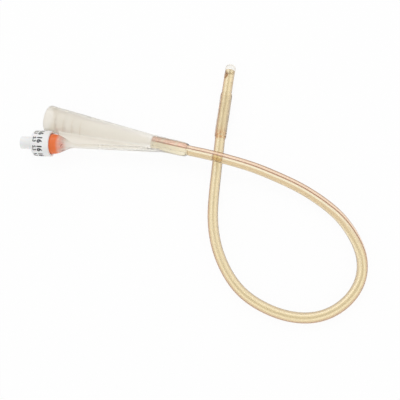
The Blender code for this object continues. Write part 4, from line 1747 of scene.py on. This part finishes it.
@dataclass
class Spring:
    """The closing spring: a wire coil with a dead turn at each end."""

    tip: Vector
    axis: Vector
    start: float = 0.0120
    travel: float = 0.0048
    radius: float = 0.0017
    wire_radius: float = 0.0002
    turns: int = 6
    points_a_turn: int = 32
    dead_pitch: float = 0.0005
    stroke: float = 0.0012
    sides: int = 12

    def coil(self) -> list[Vector]:
        """The wire's centreline."""
        side = self.axis.cross(UP)
        known = (0, 1, self.turns - 1, self.turns)
        rises = (0, self.dead_pitch, self.travel - self.dead_pitch, self.travel)
        points = []
        for turn in np.linspace(0, self.turns, self.turns * self.points_a_turn + 1):
            angle = 2 * math.pi * turn
            around = side * math.cos(angle) + UP * math.sin(angle)
            along = self.start + float(np.interp(turn, known, rises))
            points.append(self.tip + self.axis * along + around * self.radius)
        return points

    def build(self) -> None:
        """Winds the wire."""
        wire = WIRE.make()
        winder = SweepTree("wound_section", "MINIMUM_TWIST")
        mesh = winder.sweep("spring", self.coil(), self.wire_radius, 0.0, self.sides, wire)
        piece = link_piece("spring", mesh, wire)
        settle(piece, Slot.SPRING, "valve_spring")
        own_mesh(piece)


@dataclass(frozen=True)
class Lamp:
    """A soft square lamp."""

    name: str
    place: Triple
    size: float
    strength: float


@dataclass
class Studio:
    """The pale floor, the soft lamps and the camera at the photograph's angle.

    The eye is measured from the surface under the drain mouth. Tilt, spin and roll turn the camera
    from looking straight down.
    """

    mouth: Vector
    eye: Triple = (0.246942, -0.223096, 0.497521)
    tilt: float = math.radians(27)
    spin: float = math.radians(37.6062)
    roll: float = math.radians(-21)
    sensor_width: float = 36.0
    focal_pixels: float = 1100.0
    frame_pixels: float = 400.0
    sharp_range: Span = (0.01, 20.0)
    floor_size: float = 3.0
    aim: Triple = (0.05, 0.0, 0.0)
    lamps: tuple[Lamp, ...] = (
        Lamp("key", (-0.25, 0.45, 0.8), 0.5, 1.6),
        Lamp("fill", (0.6, -0.5, 0.6), 0.6, 0.8),
    )
    sky_strength: float = 0.75
    horizon_colour: Colour = (0.60, 0.52, 0.43)
    horizon_span: Span = (0.05, 0.75)

    def build_camera(self) -> None:
        """Creates the camera."""
        data = bpy.data.cameras.new("camera")
        data.sensor_width = self.sensor_width
        data.lens = self.sensor_width * self.focal_pixels / self.frame_pixels
        data.clip_start, data.clip_end = self.sharp_range
        camera = link_object("camera", data)
        foot = Vector((self.mouth.x, self.mouth.y, 0))
        spin, tilt, roll = (
            Matrix.Rotation(angle, 4, axis)
            for angle, axis in ((self.spin, "Z"), (self.tilt, "X"), (self.roll, "Z"))
        )
        camera.matrix_world = Matrix.Translation(foot + Vector(self.eye)) @ spin @ tilt @ roll
        bpy.context.scene.camera = camera

    def build_floor(self) -> None:
        """The floor, a square sheet of paper."""
        half = self.floor_size / 2
        mesh = bpy.data.meshes.new("floor")
        corners = [(-half, -half, 0), (half, -half, 0), (half, half, 0), (-half, half, 0)]
        mesh.from_pydata(corners, [], [(0, 1, 2, 3)])
        mesh.materials.append(FLOOR.make())
        floor = link_object("floor", mesh)

    def build_lamps(self) -> None:
        """A soft key from above and behind the hub, and a low fill."""
        for lamp in self.lamps:
            data = bpy.data.lights.new(lamp.name, "AREA")
            data.size = lamp.size
            data.energy = lamp.strength
            made = link_object(lamp.name, data)
            made.location = lamp.place
            made.visible_transmission = False
            made.rotation_mode = "QUATERNION"
            made.rotation_quaternion = (Vector(self.aim) - Vector(lamp.place)).to_track_quat("-Z", "Y")

    def build_sky(self) -> None:
        """An even sky, white to the camera and warmer near the horizon to mirrors and clear surfaces."""
        world = bpy.data.worlds.new("sky")
        bpy.context.scene.world = world
        world.use_nodes = True
        world.node_tree.nodes.clear()
        tree = Tree(world.node_tree)
        camera, through = tree.rays()
        _, _, height = tree.parts(tree.node("ShaderNodeTexCoord", output="Generated"))
        tent = tree.mix(height.step(*self.horizon_span), self.horizon_colour, WHITE_LIGHT)
        even, warm, white = (
            tree.node("ShaderNodeBackground", {}, {"Color": colour, "Strength": strength})
            for colour, strength in ((WHITE_LIGHT, self.sky_strength), (tent, 1.0), (WHITE_LIGHT, 1.0))
        )
        seen = tree.mix_shaders(through, even, warm)
        tree.node("ShaderNodeOutputWorld", {}, {"Surface": tree.mix_shaders(camera, seen, white)})


def main() -> None:
    """Builds the studio and the catheter's pieces in order."""
    logging.basicConfig(level=logging.INFO, format="%(message)s")
    bpy.context.scene.view_settings.view_transform = "Standard"
    mounts = {mount["name"]: mount for mount in frame["record"]["mounts"]}
    mouth = Vector((*mounts["drain_mouth"]["pos_m"][:2], HUB_AXIS_HEIGHT))
    nozzle = Vector((*mounts["luer_face"]["pos_m"][:2], HUB_AXIS_HEIGHT))
    valve_axis = -Vector(mounts["luer_face"]["axis"])
    studio = Studio(mouth)
    studio.build_camera()
    SoftLine(Route(mouth + HUB_AXIS * HUB_LENGTH, SOCKET_DEPTH)).build()
    Hub(mouth, nozzle, valve_axis).build()
    Valve(nozzle, valve_axis).build()
    Spring(nozzle, valve_axis).build()
    studio.build_floor()
    studio.build_lamps()
    studio.build_sky()


if __name__ == "__main__":
    main()
